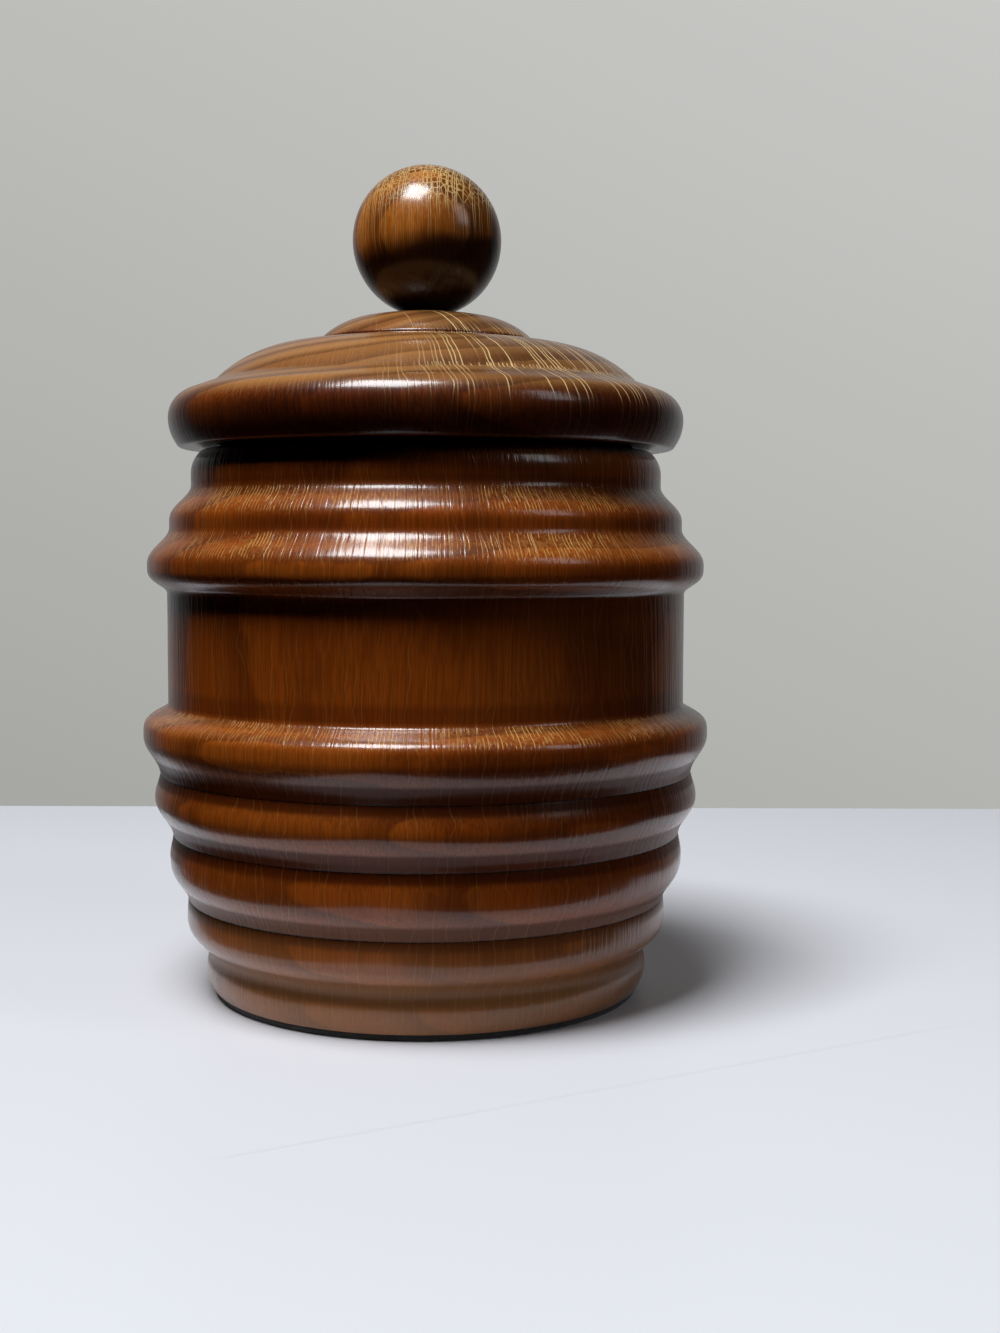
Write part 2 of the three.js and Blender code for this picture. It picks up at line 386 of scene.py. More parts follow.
def dress(piece: Piece, coat: Material, bare: Optional[Material] = None,
          is_bare: Optional[Region] = None) -> None:
    """Gives a piece its finish.

    Args:
        piece: The piece.
        coat: Finish of all its faces but the bare ones.
        bare: Finish of the bare faces.
        is_bare: Tells where a face is bare, from its middle's radius and height.
    """
    piece.data.materials.append(coat)
    if bare and is_bare:
        piece.data.materials.append(bare)
        for face in piece.data.polygons:
            if is_bare(face.center.xy.length / MM, face.center.z / MM):
                face.material_index = 1


def mount(piece: Piece, node: str, rider: Rider, slot: Slot) -> None:
    """Lets a piece stand for a node of the frame.

    Args:
        piece: The piece.
        node: The node that it stands for.
        rider: The body that it moves with.
        slot: The material slot for its finish; not used.
    """
    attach(piece, rider.value)
    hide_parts(node)
    low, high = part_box(node)
    corners = [vert.co for vert in piece.data.vertices]
    least = Vector(min(corner[axis] for corner in corners) for axis in range(3))
    most = Vector(max(corner[axis] for corner in corners) for axis in range(3))
    proud = max(max(low - least), max(most - high)) / MM
    LOG.info("%s for %s on %s: %d faces, %.3f mm proud of its node",
             piece.name, node, rider.value, len(piece.data.polygons), proud)


class Shading:
    """Draws one node tree, with places in millimetres."""

    def __init__(self, name: str) -> None:
        """Starts an empty material.

        Args:
            name: Its name.
        """
        self.material = bpy.data.materials.new(name)
        self.material.use_nodes = True
        self._start(self.material.node_tree)

    @classmethod
    def of_tree(cls, tree: bpy.types.NodeTree) -> "Shading":
        """Starts on a node tree that is no material's.

        Args:
            tree: The tree, which is cleared.

        Returns:
            The drawing.
        """
        drawing = cls.__new__(cls)
        drawing._start(tree)
        return drawing

    def _start(self, tree: bpy.types.NodeTree) -> None:
        """Clears the tree."""
        self.tree = tree
        self.tree.nodes.clear()

    def add(self, kind: str, inputs: dict[Union[str, int], Wire], **settings: object) -> bpy.types.Node:
        """Adds a node.

        Args:
            kind: Its type.
            inputs: What goes into its sockets, by name or number.
            settings: Its own settings.

        Returns:
            The node.
        """
        made = self.tree.nodes.new(kind)
        for name, value in settings.items():
            setattr(made, name, value)
        for key, value in inputs.items():
            if isinstance(value, Socket):
                self.tree.links.new(value, made.inputs[key])
            else:
                made.inputs[key].default_value = value
        return made

    def math(self, operation: str, first: Wire, second: Wire = 0.0) -> Socket:
        """Works out one number from two."""
        return self.add("ShaderNodeMath", {0: first, 1: second}, operation=operation).outputs[0]

    def times(self, first: Wire, second: Wire) -> Socket:
        """The product of two numbers."""
        return self.math("MULTIPLY", first, second)

    def plus(self, first: Wire, second: Wire) -> Socket:
        """The sum of two numbers."""
        return self.math("ADD", first, second)

    def less(self, first: Wire, second: Wire) -> Socket:
        """The first number less the second."""
        return self.math("SUBTRACT", first, second)

    def larger(self, first: Wire, second: Wire) -> Socket:
        """The larger of two numbers."""
        return self.math("MAXIMUM", first, second)

    def vector(self, operation: str, first: Wire, second: Wire = (0.0, 0.0, 0.0)) -> Socket:
        """Works out one vector from two."""
        return self.add("ShaderNodeVectorMath", {0: first, 1: second}, operation=operation).outputs["Vector"]

    def length(self, vector: Wire) -> Socket:
        """Length of a vector."""
        return self.add("ShaderNodeVectorMath", {0: vector}, operation="LENGTH").outputs["Value"]

    def place(self) -> Socket:
        """Place on the piece, in millimetres."""
        metres = self.add("ShaderNodeTexCoord", {}).outputs["Object"]
        return self.vector("MULTIPLY", metres, (PER_METRE, PER_METRE, PER_METRE))

    def upward(self) -> Socket:
        """How far the surface faces up: 1 on a level top, 0 on an upright side and -1 on an underside."""
        return self.split(self.add("ShaderNodeTexCoord", {}).outputs["Normal"])[2]

    def split(self, vector: Wire) -> tuple[Socket, ...]:
        """The three parts of a vector."""
        return tuple(self.add("ShaderNodeSeparateXYZ", {0: vector}).outputs)

    def join(self, x: Wire, y: Wire, z: Wire) -> Socket:
        """A vector from its three parts."""
        return self.add("ShaderNodeCombineXYZ", {0: x, 1: y, 2: z}).outputs[0]

    def grey(self, level: Wire) -> Socket:
        """A colour with three like parts."""
        return self.join(level, level, level)

    def mark(self, name: str) -> Socket:
        """What the mesh has written on it under that name."""
        return self.add("ShaderNodeAttribute", {}, attribute_name=name).outputs["Fac"]

    def noise(self, place: Wire, size: float, detail: float = 1.0, output: str = "Fac") -> Socket:
        """Smooth random values.

        Args:
            place: Where.
            size: Width of one swell.
            detail: Number of finer layers.
            output: Which output of the texture.

        Returns:
            Values about a half.
        """
        inputs = {"Vector": place, "Scale": 1 / size, "Detail": detail}
        return self.add("ShaderNodeTexNoise", inputs, noise_dimensions="3D").outputs[output]

    def sway(self, place: Wire, size: float, detail: float, amount: float) -> Socket:
        """Smooth random values about 0, up to about half an amount."""
        return self.times(self.less(self.noise(place, size, detail), 0.5), amount)

    def drift(self, place: Wire, size: float, amount: float) -> Socket:
        """Moves places about, smoothly, by up to about half an amount."""
        swing = self.vector("SUBTRACT", self.noise(place, size, output="Color"), (0.5, 0.5, 0.5))
        return self.vector("ADD", place, self.vector("MULTIPLY", swing, (amount, amount, amount)))

    def cells(self, place: Wire, size: float, feature: str, output: str = "Distance") -> Socket:
        """A pattern of packed cells of that size."""
        texture = self.add("ShaderNodeTexVoronoi", {"Vector": place, "Scale": 1 / size}, feature=feature)
        return texture.outputs[output]

    def ease(self, value: Wire, low: float, high: float, least: float = 0.0,
             most: float = 1.0) -> Socket:
        """A smooth step from least at low to most at high."""
        inputs = {0: value, 1: low, 2: high, 3: least, 4: most}
        return self.add("ShaderNodeMapRange", inputs, interpolation_type="SMOOTHSTEP").outputs[0]

    def blend(self, share: Wire, first: Wire, second: Wire, how: str = "MIX") -> Socket:
        """Mixes two colours."""
        inputs = {0: share, 6: first, 7: second}
        return self.add("ShaderNodeMix", inputs, data_type="RGBA", blend_type=how).outputs[2]

    def bump(self, height: Wire, depth: float) -> Socket:
        """The normal of a relief, where a height of 1 stands for that depth."""
        inputs = {"Height": height, "Distance": depth * MM, "Strength": 1.0}
        return self.add("ShaderNodeBump", inputs).outputs[0]

    def finish(self, **sockets: Wire) -> Material:
        """Closes the tree with its shader.

        Args:
            sockets: Inputs of the shader, with _ for a space.

        Returns:
            The material.
        """
        inputs = {name.replace("_", " "): value for name, value in sockets.items()}
        shader = self.add("ShaderNodeBsdfPrincipled", inputs)
        self.add("ShaderNodeOutputMaterial", {"Surface": shader.outputs[0]})
        return self.material


@dataclass(frozen=True)
class OakTones:
    """Colours of one way of finishing oak.

    Attributes:
        late: Dense wood at the end of a year's growth, wood that took more staining, and painted shade in
            hollows.
        middle: Wood between.
        early: Open wood at the start of a year's growth.
        worn_and_sheen: Wood that has dried on tops, which on the lid's dome also stands for painted sheen,
            and scuffed wood.
        ray: Rays and pores.
        nook: Painted shade on undersides and on a shaded side, and dirt in tool lines.
    """

    late: Colour
    middle: Colour
    early: Colour
    worn_and_sheen: Colour
    ray: Colour
    nook: Colour


STAINED = OakTones(
    late=(0.105, 0.0180, 0.0015, 1),
    middle=(0.275, 0.0510, 0.0028, 1),
    early=(0.340, 0.0760, 0.0065, 1),
    worn_and_sheen=(0.330, 0.1700, 0.0600, 1),
    ray=(0.600, 0.3100, 0.0850, 1),
    nook=(0.018, 0.0045, 0.0012, 1),
)
DARK = OakTones(
    late=(0.055, 0.0085, 0.0010, 1),
    middle=(0.140, 0.0230, 0.0020, 1),
    early=(0.210, 0.0440, 0.0050, 1),
    worn_and_sheen=(0.460, 0.2100, 0.0600, 1),
    ray=(0.820, 0.5600, 0.2500, 1),
    nook=(0.012, 0.0035, 0.0012, 1),
)
LIGHT = OakTones(
    late=(0.100, 0.0190, 0.0016, 1),
    middle=(0.430, 0.1050, 0.0080, 1),
    early=(0.530, 0.1650, 0.0160, 1),
    worn_and_sheen=(0.430, 0.2500, 0.0800, 1),
    ray=(0.740, 0.4900, 0.1900, 1),
    nook=(0.014, 0.0035, 0.0010, 1),
)
RAW = OakTones(
    late=(0.21, 0.105, 0.038, 1),
    middle=(0.30, 0.165, 0.070, 1),
    early=(0.37, 0.220, 0.105, 1),
    worn_and_sheen=(0.37, 0.220, 0.105, 1),
    ray=(0.50, 0.330, 0.180, 1),
    nook=(0.10, 0.050, 0.020, 1),
)


@dataclass(frozen=True)
class Rays:
    """One layer of rays in oak.

    Attributes:
        count: Rays in a full turn about the pith.
        height: Height of a ray along the grain.
        reach: Length of a ray away from the pith.
    """

    count: int
    height: float
    reach: float


@dataclass(frozen=True)
class Grain:
    """Where a place on a piece lies in the tree that its oak came from.

    Attributes:
        place: Place on the piece, with the slow wander of the grain.
        fine: The same place, with a finer wander as well.
        outward: Offset from the pith, across the grain.
        radius: Distance from the pith.
        angle: Direction from the pith in radians.
        height: Height along the grain.
        upward: How far the surface faces up, from -1 to 1.
        spread: How far a ray wanders there, as a share of the space between rays.
        patches: Patches in which torn grain, pores and dust show more, from a quarter to 1.
    """

    place: Socket
    fine: Socket
    outward: Socket
    radius: Socket
    angle: Socket
    height: Socket
    upward: Socket
    spread: Socket
    patches: Socket


@dataclass(frozen=True)
class OakFinish:
    """Oak with its grain upright: yearly rings and rays about a pith, open pores, staining and lacquer, with
    painted shade on undersides, on one side and in hollows, and lighter tops that are partly painted sheen.

    Attributes:
        name: Name of the material.
        tones: Its colours.
        pith: Where the heart of the tree lay, across the piece.
        ring_width: Growth in one year.
        ray_count: Rays in a full turn about the pith; twice as many more start further out.
        ray_start: Distance from the pith at which the other rays start.
        ray_width: Thickness of a ray.
        ray_height: Height of a ray along the grain.
        ray_reach: Length of a ray away from the pith.
        ray_wander: How far a ray wanders, as a share of the space between rays.
        top_share: How strongly rays show on a level top.
        side_share: How strongly they show on an upright side.
        ray_side: How much rays keep to the side at ray_heading.
        ray_heading: Direction in degrees in which they keep.
        net_size: Width of one cell of the net of pores.
        net_share: How strongly that net shows on a level top.
        tick_count: Ticks of torn grain in a full turn.
        tick_size: Length of a tick.
        tick_share: How strongly ticks show on a surface that faces up.
        nook_share: How strongly they show in a nook that faces up.
        worn_and_sheen_share: How much a level top takes the lighter tone of dried wood and, on the lid, of
            painted sheen.
        hollow_stain_and_shade_share: How much more staining and painted shade lies in a hollow.
        foot_height: Height below which there are no ticks, and more staining, more painted shade and less
            lacquer in a hollow.
        foot_stain_and_shade_share: How much more staining and painted shade lies in a hollow there.
        matt_share: How much less lacquer shows in a hollow there.
        scuff_height: Height below which the wood is scuffed pale.
        scuff_share: How pale it is there.
        dust_share: How much wax and dust lies on a slope of the turnings that faces up.
        fibre_share: How much the fibres differ in tone.
        under_shade_share: How much painted shade darkens an underside.
        under_shade_from: How far a surface faces up where the painted shade starts.
        under_shade_to: How far it faces up where the painted shade is darkest.
        under_shade_tilt: How much higher the painted underside shade reaches on the side at shade_heading.
        shade_share: How much painted shade darkens that side.
        shade_heading: Direction of that side in degrees.
        lacquered: Whether it has lacquer.
        coat_relief: How much of the furrows the lacquer shows.
    """

    name: str
    tones: OakTones
    pith: Point
    ring_width: float = 5.0
    ray_count: int = 62
    ray_start: float = 30.0
    ray_width: float = 0.22
    ray_height: float = 15.0
    ray_reach: float = 18.0
    ray_wander: float = 0.9
    top_share: float = 0.8
    side_share: float = 0.25
    ray_side: float = 0.0
    ray_heading: float = 0.0
    net_size: float = 0.95
    net_share: float = 0.15
    tick_count: int = 400
    tick_size: float = 3.5
    tick_share: float = 0.65
    nook_share: float = 0.0
    worn_and_sheen_share: float = 0.25
    hollow_stain_and_shade_share: float = 0.7
    foot_height: float = 0.0
    foot_stain_and_shade_share: float = 0.9
    matt_share: float = 0.7
    scuff_height: float = 0.0
    scuff_share: float = 0.5
    dust_share: float = 0.4
    fibre_share: float = 0.18
    under_shade_share: float = 0.0
    under_shade_from: float = 0.1
    under_shade_to: float = -0.3
    under_shade_tilt: float = 0.0
    shade_share: float = 0.0
    shade_heading: float = -20.0
    lacquered: bool = True
    coat_relief: float = 0.028

    # Widths of the random patterns in the wood, and how far they move it
    GRAIN_BEND = 85.0
    GRAIN_SHIFT = 13.0
    FINE_BEND = 5.0
    FINE_SHIFT = 0.4
    RING_BEND = 38.0
    RAY_BEND = 9.0
    SIDE_BEND = 30.0
    # Width and reach of the sway in the edge of the painted underside shade
    UNDER_SHADE_BEND = 11.0
    UNDER_SHADE_SWAY = 0.3
    PATCH_SIZE = 13.0
    CLOUD_SIZE = 20.0
    FIBRE_WIDTH = 0.38
    DUST_SIZE = 1.2
    DIRT_SIZE = 1.5
    DIRT_SWAY = 0.8

    # How much a millimetre of height counts where a pattern is drawn out along the grain
    FIBRE_STRETCH = (1.0, 1.0, 0.012)
    NET_STRETCH = (1.0, 1.0, 0.12)
    CLOUD_STRETCH = (1.0, 1.0, 0.6)

    # Values of a random pattern at which its marks start and are complete
    FIBRE_SPAN = (0.36, 0.64)
    PATCH_SPAN = (0.36, 0.62)
    CLOUD_SPAN = (0.45, 0.75)
    RAY_SPAN = (0.40, 0.56)
    DUST_SPAN = (0.45, 0.6)
    DIRT_SPAN = (0.6, 0.95)
    FURROW_SPAN = (0.52, 0.36)

    # How far a surface faces up where marks start and are complete
    RAY_FACING = (0.1, 0.65)
    TICK_FACING = (0.3, 0.55)
    NOOK_FACING = (0.0, 0.2)
    DUST_FACING = (0.6, 0.72)
    NET_FACING = (0.2, 0.7)
    WEAR_AND_SHEEN_FACING = (0.35, 0.9)

    # How hollow the outline is where marks start and are complete
    # Hollowness at which staining and painted shade in a hollow start and are complete, above and below the
    # foot height
    STAIN_AND_SHADE_HOLLOW = (0.02, 0.22)
    FOOT_STAIN_AND_SHADE_HOLLOW = (-0.03, 0.14)
    MATT_HOLLOW = (0.0, 0.14)
    TICK_NOOK = (0.04, 0.1)

    # How far a place lies towards a side where marks start and are complete
    SHADE_SIDE = (0.7, 1.3)
    RAY_SIDE = (0.2, 0.9)

    # Parts of a year's growth, and years between swings of its tone
    LATE_START = (0.35, 0.92)
    LATE_END = (1.0, 0.93)
    MOOD_YEARS = 0.8
    MOOD_RISE = 0.004
    MOOD_SPAN = (0.3, 0.7)
    OPEN_SPAN = (0.3, 0.65)

    # How rays fade at their edges, break up along their length, and start further out
    RAY_EDGE = (0.7, 0.3)
    RAY_STRIDE = 5.7
    RAY_ONSET = 1.3

    # Walls of the net of pores: where the wood between is darker, and where a pore is pale
    NET_CELL = (0.1, 0.3)
    NET_LINE = (0.11, 0.03)

    # Most that one colour gives way to another
    LATE_SHARE = 0.65
    CLOUD_SHARE = 0.6
    NET_SHARE = 0.7
    DIRT_SHARE = 0.85

    # Least openness of the wood, and least that marks show between patches
    LEAST_OPEN = 0.5
    LEAST_PATCH = 0.25

    # Furrows: the ring that they are drawn on, their width there, their slope and their depth
    FURROW_RING = 62.0
    FURROW_WIDTH = 0.85
    FURROW_RISE = 0.02
    STAINED_DEPTH = 0.05
    RAW_DEPTH = 0.06

    # Height over which the finish of the foot gives way to that above it
    FOOT_FADE = 3.0

    def material(self) -> Material:
        """Makes the material.

        Returns:
            The material.
        """
        s = Shading(self.name)
        grain = self._grain(s)
        hollow = s.mark("hollow")
        above = self._above_foot(s, grain)
        rays = self._all_rays(s, grain)
        # Painted shade: how far undersides and the side at shade_heading are darkened
        under, shade = self._shadows(s, grain)

        colour, openness = self._rings(s, grain)
        colour = self._fibres_wear_and_sheen(s, grain, colour, openness)
        colour = self._stained_and_shaded(s, grain, colour, hollow, above)
        # Paints that shade in the shade colour, over the wood's own tones
        colour = s.blend(s.larger(under, shade), colour, self.tones.nook)
        colour, pores = self._net(s, grain, colour)
        pale = s.larger(self._pale(s, grain, rays, above), pores)
        colour = s.blend(s.times(pale, s.less(1.0, under)), colour, self.tones.ray)
        colour = self._scored(s, grain, colour)

        relief = self._relief(s, grain, rays)
        if not self.lacquered:
            return s.finish(Base_Color=colour, Roughness=0.62, Normal=s.bump(relief, self.RAW_DEPTH))
        coat = 1.0
        if self.foot_height:
            coat = s.larger(above, s.ease(hollow, *self.MATT_HOLLOW, 1.0, 1.0 - self.matt_share))
        return s.finish(
            Base_Color=colour, Roughness=0.4, Specular_IOR_Level=0.1,
            Normal=s.bump(relief, self.STAINED_DEPTH),
            Coat_Weight=coat, Coat_Roughness=0.19, Coat_IOR=1.45,
            Coat_Normal=s.bump(relief, self.coat_relief),
        )

    def _grain(self, s: Shading) -> Grain:
        """Finds where a place lies in the tree.

        Args:
            s: The material's tree.

        Returns:
            Its place in the grain.
        """
        place = s.drift(s.place(), self.GRAIN_BEND, self.GRAIN_SHIFT)
        fine = s.drift(place, self.FINE_BEND, self.FINE_SHIFT)
        x, y, height = s.split(fine)
        east, north = s.less(x, self.pith[0]), s.less(y, self.pith[1])
        outward = s.join(east, north, 0.0)
        patches = s.ease(s.noise(place, self.PATCH_SIZE, 2.0), *self.PATCH_SPAN, self.LEAST_PATCH, 1.0)
        return Grain(
            place=place, fine=fine, outward=outward, radius=s.length(outward),
            angle=s.math("ARCTAN2", north, east), height=height, upward=s.upward(),
            spread=s.sway(fine, self.RAY_BEND, 1.0, self.ray_wander), patches=patches,
        )

    def _above_foot(self, s: Shading, grain: Grain) -> Wire:
        """Tells the part above the foot from the foot.

        Args:
            s: The material's tree.
            grain: Place in the grain.

        Returns:
            1 above the foot and 0 in it, or 1 throughout where there is no foot.
        """
        if not self.foot_height:
            return 1.0
        return s.ease(grain.height, self.foot_height, self.foot_height + self.FOOT_FADE)

    def _side(self, s: Shading, grain: Grain, heading: float) -> Socket:
        """Tells how far a place lies towards a side, swayed a little.

        Args:
            s: The material's tree.
            grain: Place in the grain.
            heading: Direction of the side in degrees.

        Returns:
            About -0.5 on the far side and 1.5 on the near one.
        """
        outward = s.vector("NORMALIZE", s.vector("MULTIPLY", grain.place, (1.0, 1.0, 0.0)))
        aim = math.radians(heading)
        along = s.vector("MULTIPLY", outward, (math.cos(aim), math.sin(aim), 0.0))
        towards = s.plus(*s.split(along)[:2])
        return s.plus(towards, s.noise(grain.place, self.SIDE_BEND, 1.0))

    def _shadows(self, s: Shading, grain: Grain) -> tuple[Socket, Socket]:
        """Paints shade on undersides and on one side.

        Args:
            s: The material's tree.
            grain: Place in the grain.

        Returns:
            How dark the painted shade is there on an underside, and on the side.
        """
        side = self._side(s, grain, self.shade_heading)
        sway = s.sway(grain.place, self.UNDER_SHADE_BEND, 2.0, self.UNDER_SHADE_SWAY)
        sway = s.less(sway, s.times(s.less(side, 0.5), self.under_shade_tilt))
        facing = s.plus(grain.upward, sway)
        under = s.ease(facing, self.under_shade_from, self.under_shade_to, 0.0, self.under_shade_share)
        return under, s.ease(side, *self.SHADE_SIDE, 0.0, self.shade_share)

    def _rings(self, s: Shading, grain: Grain) -> tuple[Socket, Socket]:
        """Colours the wood by its yearly rings, with clouds where it took more stain.

        Args:
            s: The material's tree.
            grain: Place in the grain.

        Returns:
            The colour, and how open the wood is, up to 1.
        """
        bend = s.noise(grain.place, self.RING_BEND, 2.0)
        year = s.plus(s.math("DIVIDE", grain.radius, self.ring_width), bend)
        season = s.math("FRACT", year)
        rise = s.times(s.split(grain.place)[2], self.MOOD_RISE)
        mood = s.noise(s.join(year, 0.0, rise), self.MOOD_YEARS, 1.0)
        late = s.times(s.ease(season, *self.LATE_START), s.ease(season, *self.LATE_END))
        colour = s.blend(s.ease(mood, *self.MOOD_SPAN), self.tones.middle, self.tones.early)
        colour = s.blend(s.times(late, self.LATE_SHARE), colour, self.tones.late)
        clouds = s.noise(s.vector("MULTIPLY", grain.place, self.CLOUD_STRETCH), self.CLOUD_SIZE, 4.0)
        colour = s.blend(s.ease(clouds, *self.CLOUD_SPAN, 0.0, self.CLOUD_SHARE), colour, self.tones.late)
        young = s.ease(mood, *self.OPEN_SPAN, self.LEAST_OPEN, 1.0)
        return colour, s.times(young, s.ease(late, 0.0, 1.0, 1.0, self.LEAST_OPEN))

    def _fibres_wear_and_sheen(self, s: Shading, grain: Grain, colour: Wire, openness: Wire) -> Socket:
        """Gives the fibres their tones, and lightens tops: dried wood and, on the lid's dome, painted sheen.

        Args:
            s: The material's tree.
            grain: Place in the grain.
            colour: Colour so far.
            openness: How open the wood is.

        Returns:
            The colour.
        """
        fibres = s.noise(s.vector("MULTIPLY", grain.fine, self.FIBRE_STRETCH), self.FIBRE_WIDTH, 1.0)
        tone = s.ease(fibres, *self.FIBRE_SPAN, 1 - self.fibre_share, 1 + self.fibre_share)
        colour = s.blend(1.0, colour, s.grey(tone), "MULTIPLY")
        # Lighter tops: dried wood, and on the lid's dome painted sheen
        wear_and_sheen = s.ease(grain.upward, *self.WEAR_AND_SHEEN_FACING, 0.0, self.worn_and_sheen_share)
        return s.blend(s.times(wear_and_sheen, openness), colour, self.tones.worn_and_sheen)

    def _stained_and_shaded(self, s: Shading, grain: Grain, colour: Wire, hollow: Wire, above: Wire) -> Socket:
        """Darkens the hollows with staining and painted shade, more so in the foot, and scuffs the foot.

        Args:
            s: The material's tree.
            grain: Place in the grain.
            colour: Colour so far.
            hollow: How hollow the outline is there.
            above: 1 above the foot and 0 in it.

        Returns:
            The colour.
        """
        # Staining and painted shade in hollows; below the foot height it is deeper and stands in for the
        # shadow of each rib above
        stain = s.ease(hollow, *self.STAIN_AND_SHADE_HOLLOW, 0.0, self.hollow_stain_and_shade_share)
        if self.foot_height:
            heavy_stain_and_shade = s.ease(hollow, *self.FOOT_STAIN_AND_SHADE_HOLLOW, 0.0, self.foot_stain_and_shade_share)
            stain = s.larger(s.times(stain, above), s.times(heavy_stain_and_shade, s.less(1.0, above)))
        colour = s.blend(stain, colour, self.tones.late)
        if self.scuff_height:
            scuffed = s.ease(grain.height, self.scuff_height, 0.0, 0.0, self.scuff_share)
            colour = s.blend(scuffed, colour, self.tones.worn_and_sheen)
        return colour

    def _rays(self, s: Shading, grain: Grain, rays: Rays) -> Socket:
        """Draws thin upright sheets that run out from the pith.

        Args:
            s: The material's tree.
            grain: Place in the grain.
            rays: Number and size of the sheets.

        Returns:
            1 in a ray and 0 between rays.
        """
        turn = s.plus(s.times(grain.angle, rays.count / (2 * math.pi)), grain.spread)
        number = s.math("FLOORED_MODULO", s.math("FLOOR", turn), rays.count)
        aside = s.math("ABSOLUTE", s.less(s.math("FRACT", turn), 0.5))
        aside = s.times(aside, s.times(grain.radius, 2 * math.pi / rays.count))
        line = s.ease(aside, *(share * self.ray_width for share in self.RAY_EDGE))
        spot = s.join(s.times(number, self.RAY_STRIDE), s.math("DIVIDE", grain.height, rays.height),
                      s.math("DIVIDE", grain.radius, rays.reach))
        return s.times(line, s.ease(s.noise(spot, 1.0, 0.0), *self.RAY_SPAN))

    def _all_rays(self, s: Shading, grain: Grain) -> Socket:
        """Draws the rays that start at the pith and those that start further out.

        Args:
            s: The material's tree.
            grain: Place in the grain.

        Returns:
            1 in a ray and 0 between rays.
        """
        first = self._rays(s, grain, Rays(self.ray_count, self.ray_height, self.ray_reach))
        outer = self._rays(s, grain, Rays(2 * self.ray_count, self.ray_height, self.ray_reach))
        start = s.ease(grain.radius, self.ray_start, self.RAY_ONSET * self.ray_start)
        return s.larger(first, s.times(outer, start))

    def _pale(self, s: Shading, grain: Grain, rays: Wire, above: Wire) -> Socket:
        """Shows the rays, ticks of torn grain, and wax and dust.

        Args:
            s: The material's tree.
            grain: Place in the grain.
            rays: 1 in a ray and 0 between rays.
            above: 1 above the foot and 0 in it.

        Returns:
            How pale the place is.
        """
        shown = s.ease(grain.upward, *self.RAY_FACING, self.side_share, self.top_share)
        torn = s.times(s.ease(grain.upward, *self.TICK_FACING, 0.0, self.tick_share), grain.patches)
        if self.nook_share:
            nook = s.ease(s.mark("nook"), *self.TICK_NOOK, 0.0, self.nook_share)
            torn = s.larger(torn, s.times(nook, s.ease(grain.upward, *self.NOOK_FACING)))
        if self.ray_side:
            side = self._side(s, grain, self.ray_heading)
            kept = s.ease(side, *self.RAY_SIDE, 1.0 - self.ray_side, 1.0)
            shown, torn = s.times(shown, kept), s.times(torn, kept)
        ticks = self._rays(s, grain, Rays(self.tick_count, self.tick_size, self.tick_size))
        ticks = s.times(ticks, s.times(torn, above))
        dust = s.times(s.ease(grain.upward, *self.DUST_FACING, 0.0, self.dust_share), grain.patches)
        dust = s.times(dust, s.ease(s.noise(grain.fine, self.DUST_SIZE, 2.0), *self.DUST_SPAN))
        return s.larger(s.times(rays, shown), s.larger(ticks, dust))

    def _net(self, s: Shading, grain: Grain, colour: Wire) -> tuple[Socket, Socket]:
        """Draws the net of pores on end grain.

        Args:
            s: The material's tree.
            grain: Place in the grain.
            colour: Colour so far.

        Returns:
            The colour, darker between the pores, and how pale the pores are.
        """
        drawn_out = s.vector("MULTIPLY", grain.fine, self.NET_STRETCH)
        cells = s.cells(drawn_out, self.net_size, "DISTANCE_TO_EDGE")
        zone = s.times(s.ease(grain.upward, *self.NET_FACING, 0.0, self.net_share), grain.patches)
        between = s.times(s.ease(cells, *self.NET_CELL, 0.0, self.NET_SHARE), zone)
        return s.blend(between, colour, self.tones.late), s.times(s.ease(cells, *self.NET_LINE), zone)

    def _scored(self, s: Shading, grain: Grain, colour: Wire) -> Socket:
        """Fills the lines of the turner's tool with dirt.

        Args:
            s: The material's tree.
            grain: Place in the grain.
            colour: Colour so far.

        Returns:
            The colour.
        """
        ragged = s.sway(grain.fine, self.DIRT_SIZE, 2.0, self.DIRT_SWAY)
        dirt = s.ease(s.plus(s.mark("tool_line"), ragged), *self.DIRT_SPAN, 0.0, self.DIRT_SHARE)
        return s.blend(dirt, colour, self.tones.nook)

    def _relief(self, s: Shading, grain: Grain, rays: Wire) -> Socket:
        """Sinks the pores and the rays below the surface.

        Args:
            s: The material's tree.
            grain: Place in the grain.
            rays: 1 in a ray and 0 between rays.

        Returns:
            Height of the surface, from -1 in a furrow to 0.
        """
        heading = s.vector("DIVIDE", grain.outward, s.join(grain.radius, grain.radius, 1.0))
        sheet = s.vector("MULTIPLY", heading, (self.FURROW_RING, self.FURROW_RING, 0.0))
        rise = s.times(s.plus(grain.radius, grain.height), self.FURROW_RISE)
        sheet = s.vector("ADD", sheet, s.join(0.0, 0.0, rise))
        furrows = s.ease(s.noise(sheet, self.FURROW_WIDTH, 1.0), *self.FURROW_SPAN)
        return s.times(s.larger(furrows, rays), -1.0)


BARREL_PITH = (-7.0, 9.0)
# The barrel: staining and painted shade in its hollows, deepest on the ribs below the foot height, and a
# little painted shade on its side at shade_heading
BARREL_OAK = OakFinish(
    "lacquered_oak_barrel", STAINED, BARREL_PITH, top_share=0.35, side_share=0.14, tick_count=520,
    tick_size=2.6, tick_share=0.95, worn_and_sheen_share=0.05, hollow_stain_and_shade_share=0.5, foot_height=58.0, scuff_height=34.0,
    dust_share=0.25, fibre_share=0.16, shade_share=0.1,
)
BORE_OAK = OakFinish("raw_oak_bore", RAW, BARREL_PITH, lacquered=False)

LID_PITH = (-9.0, 6.0)
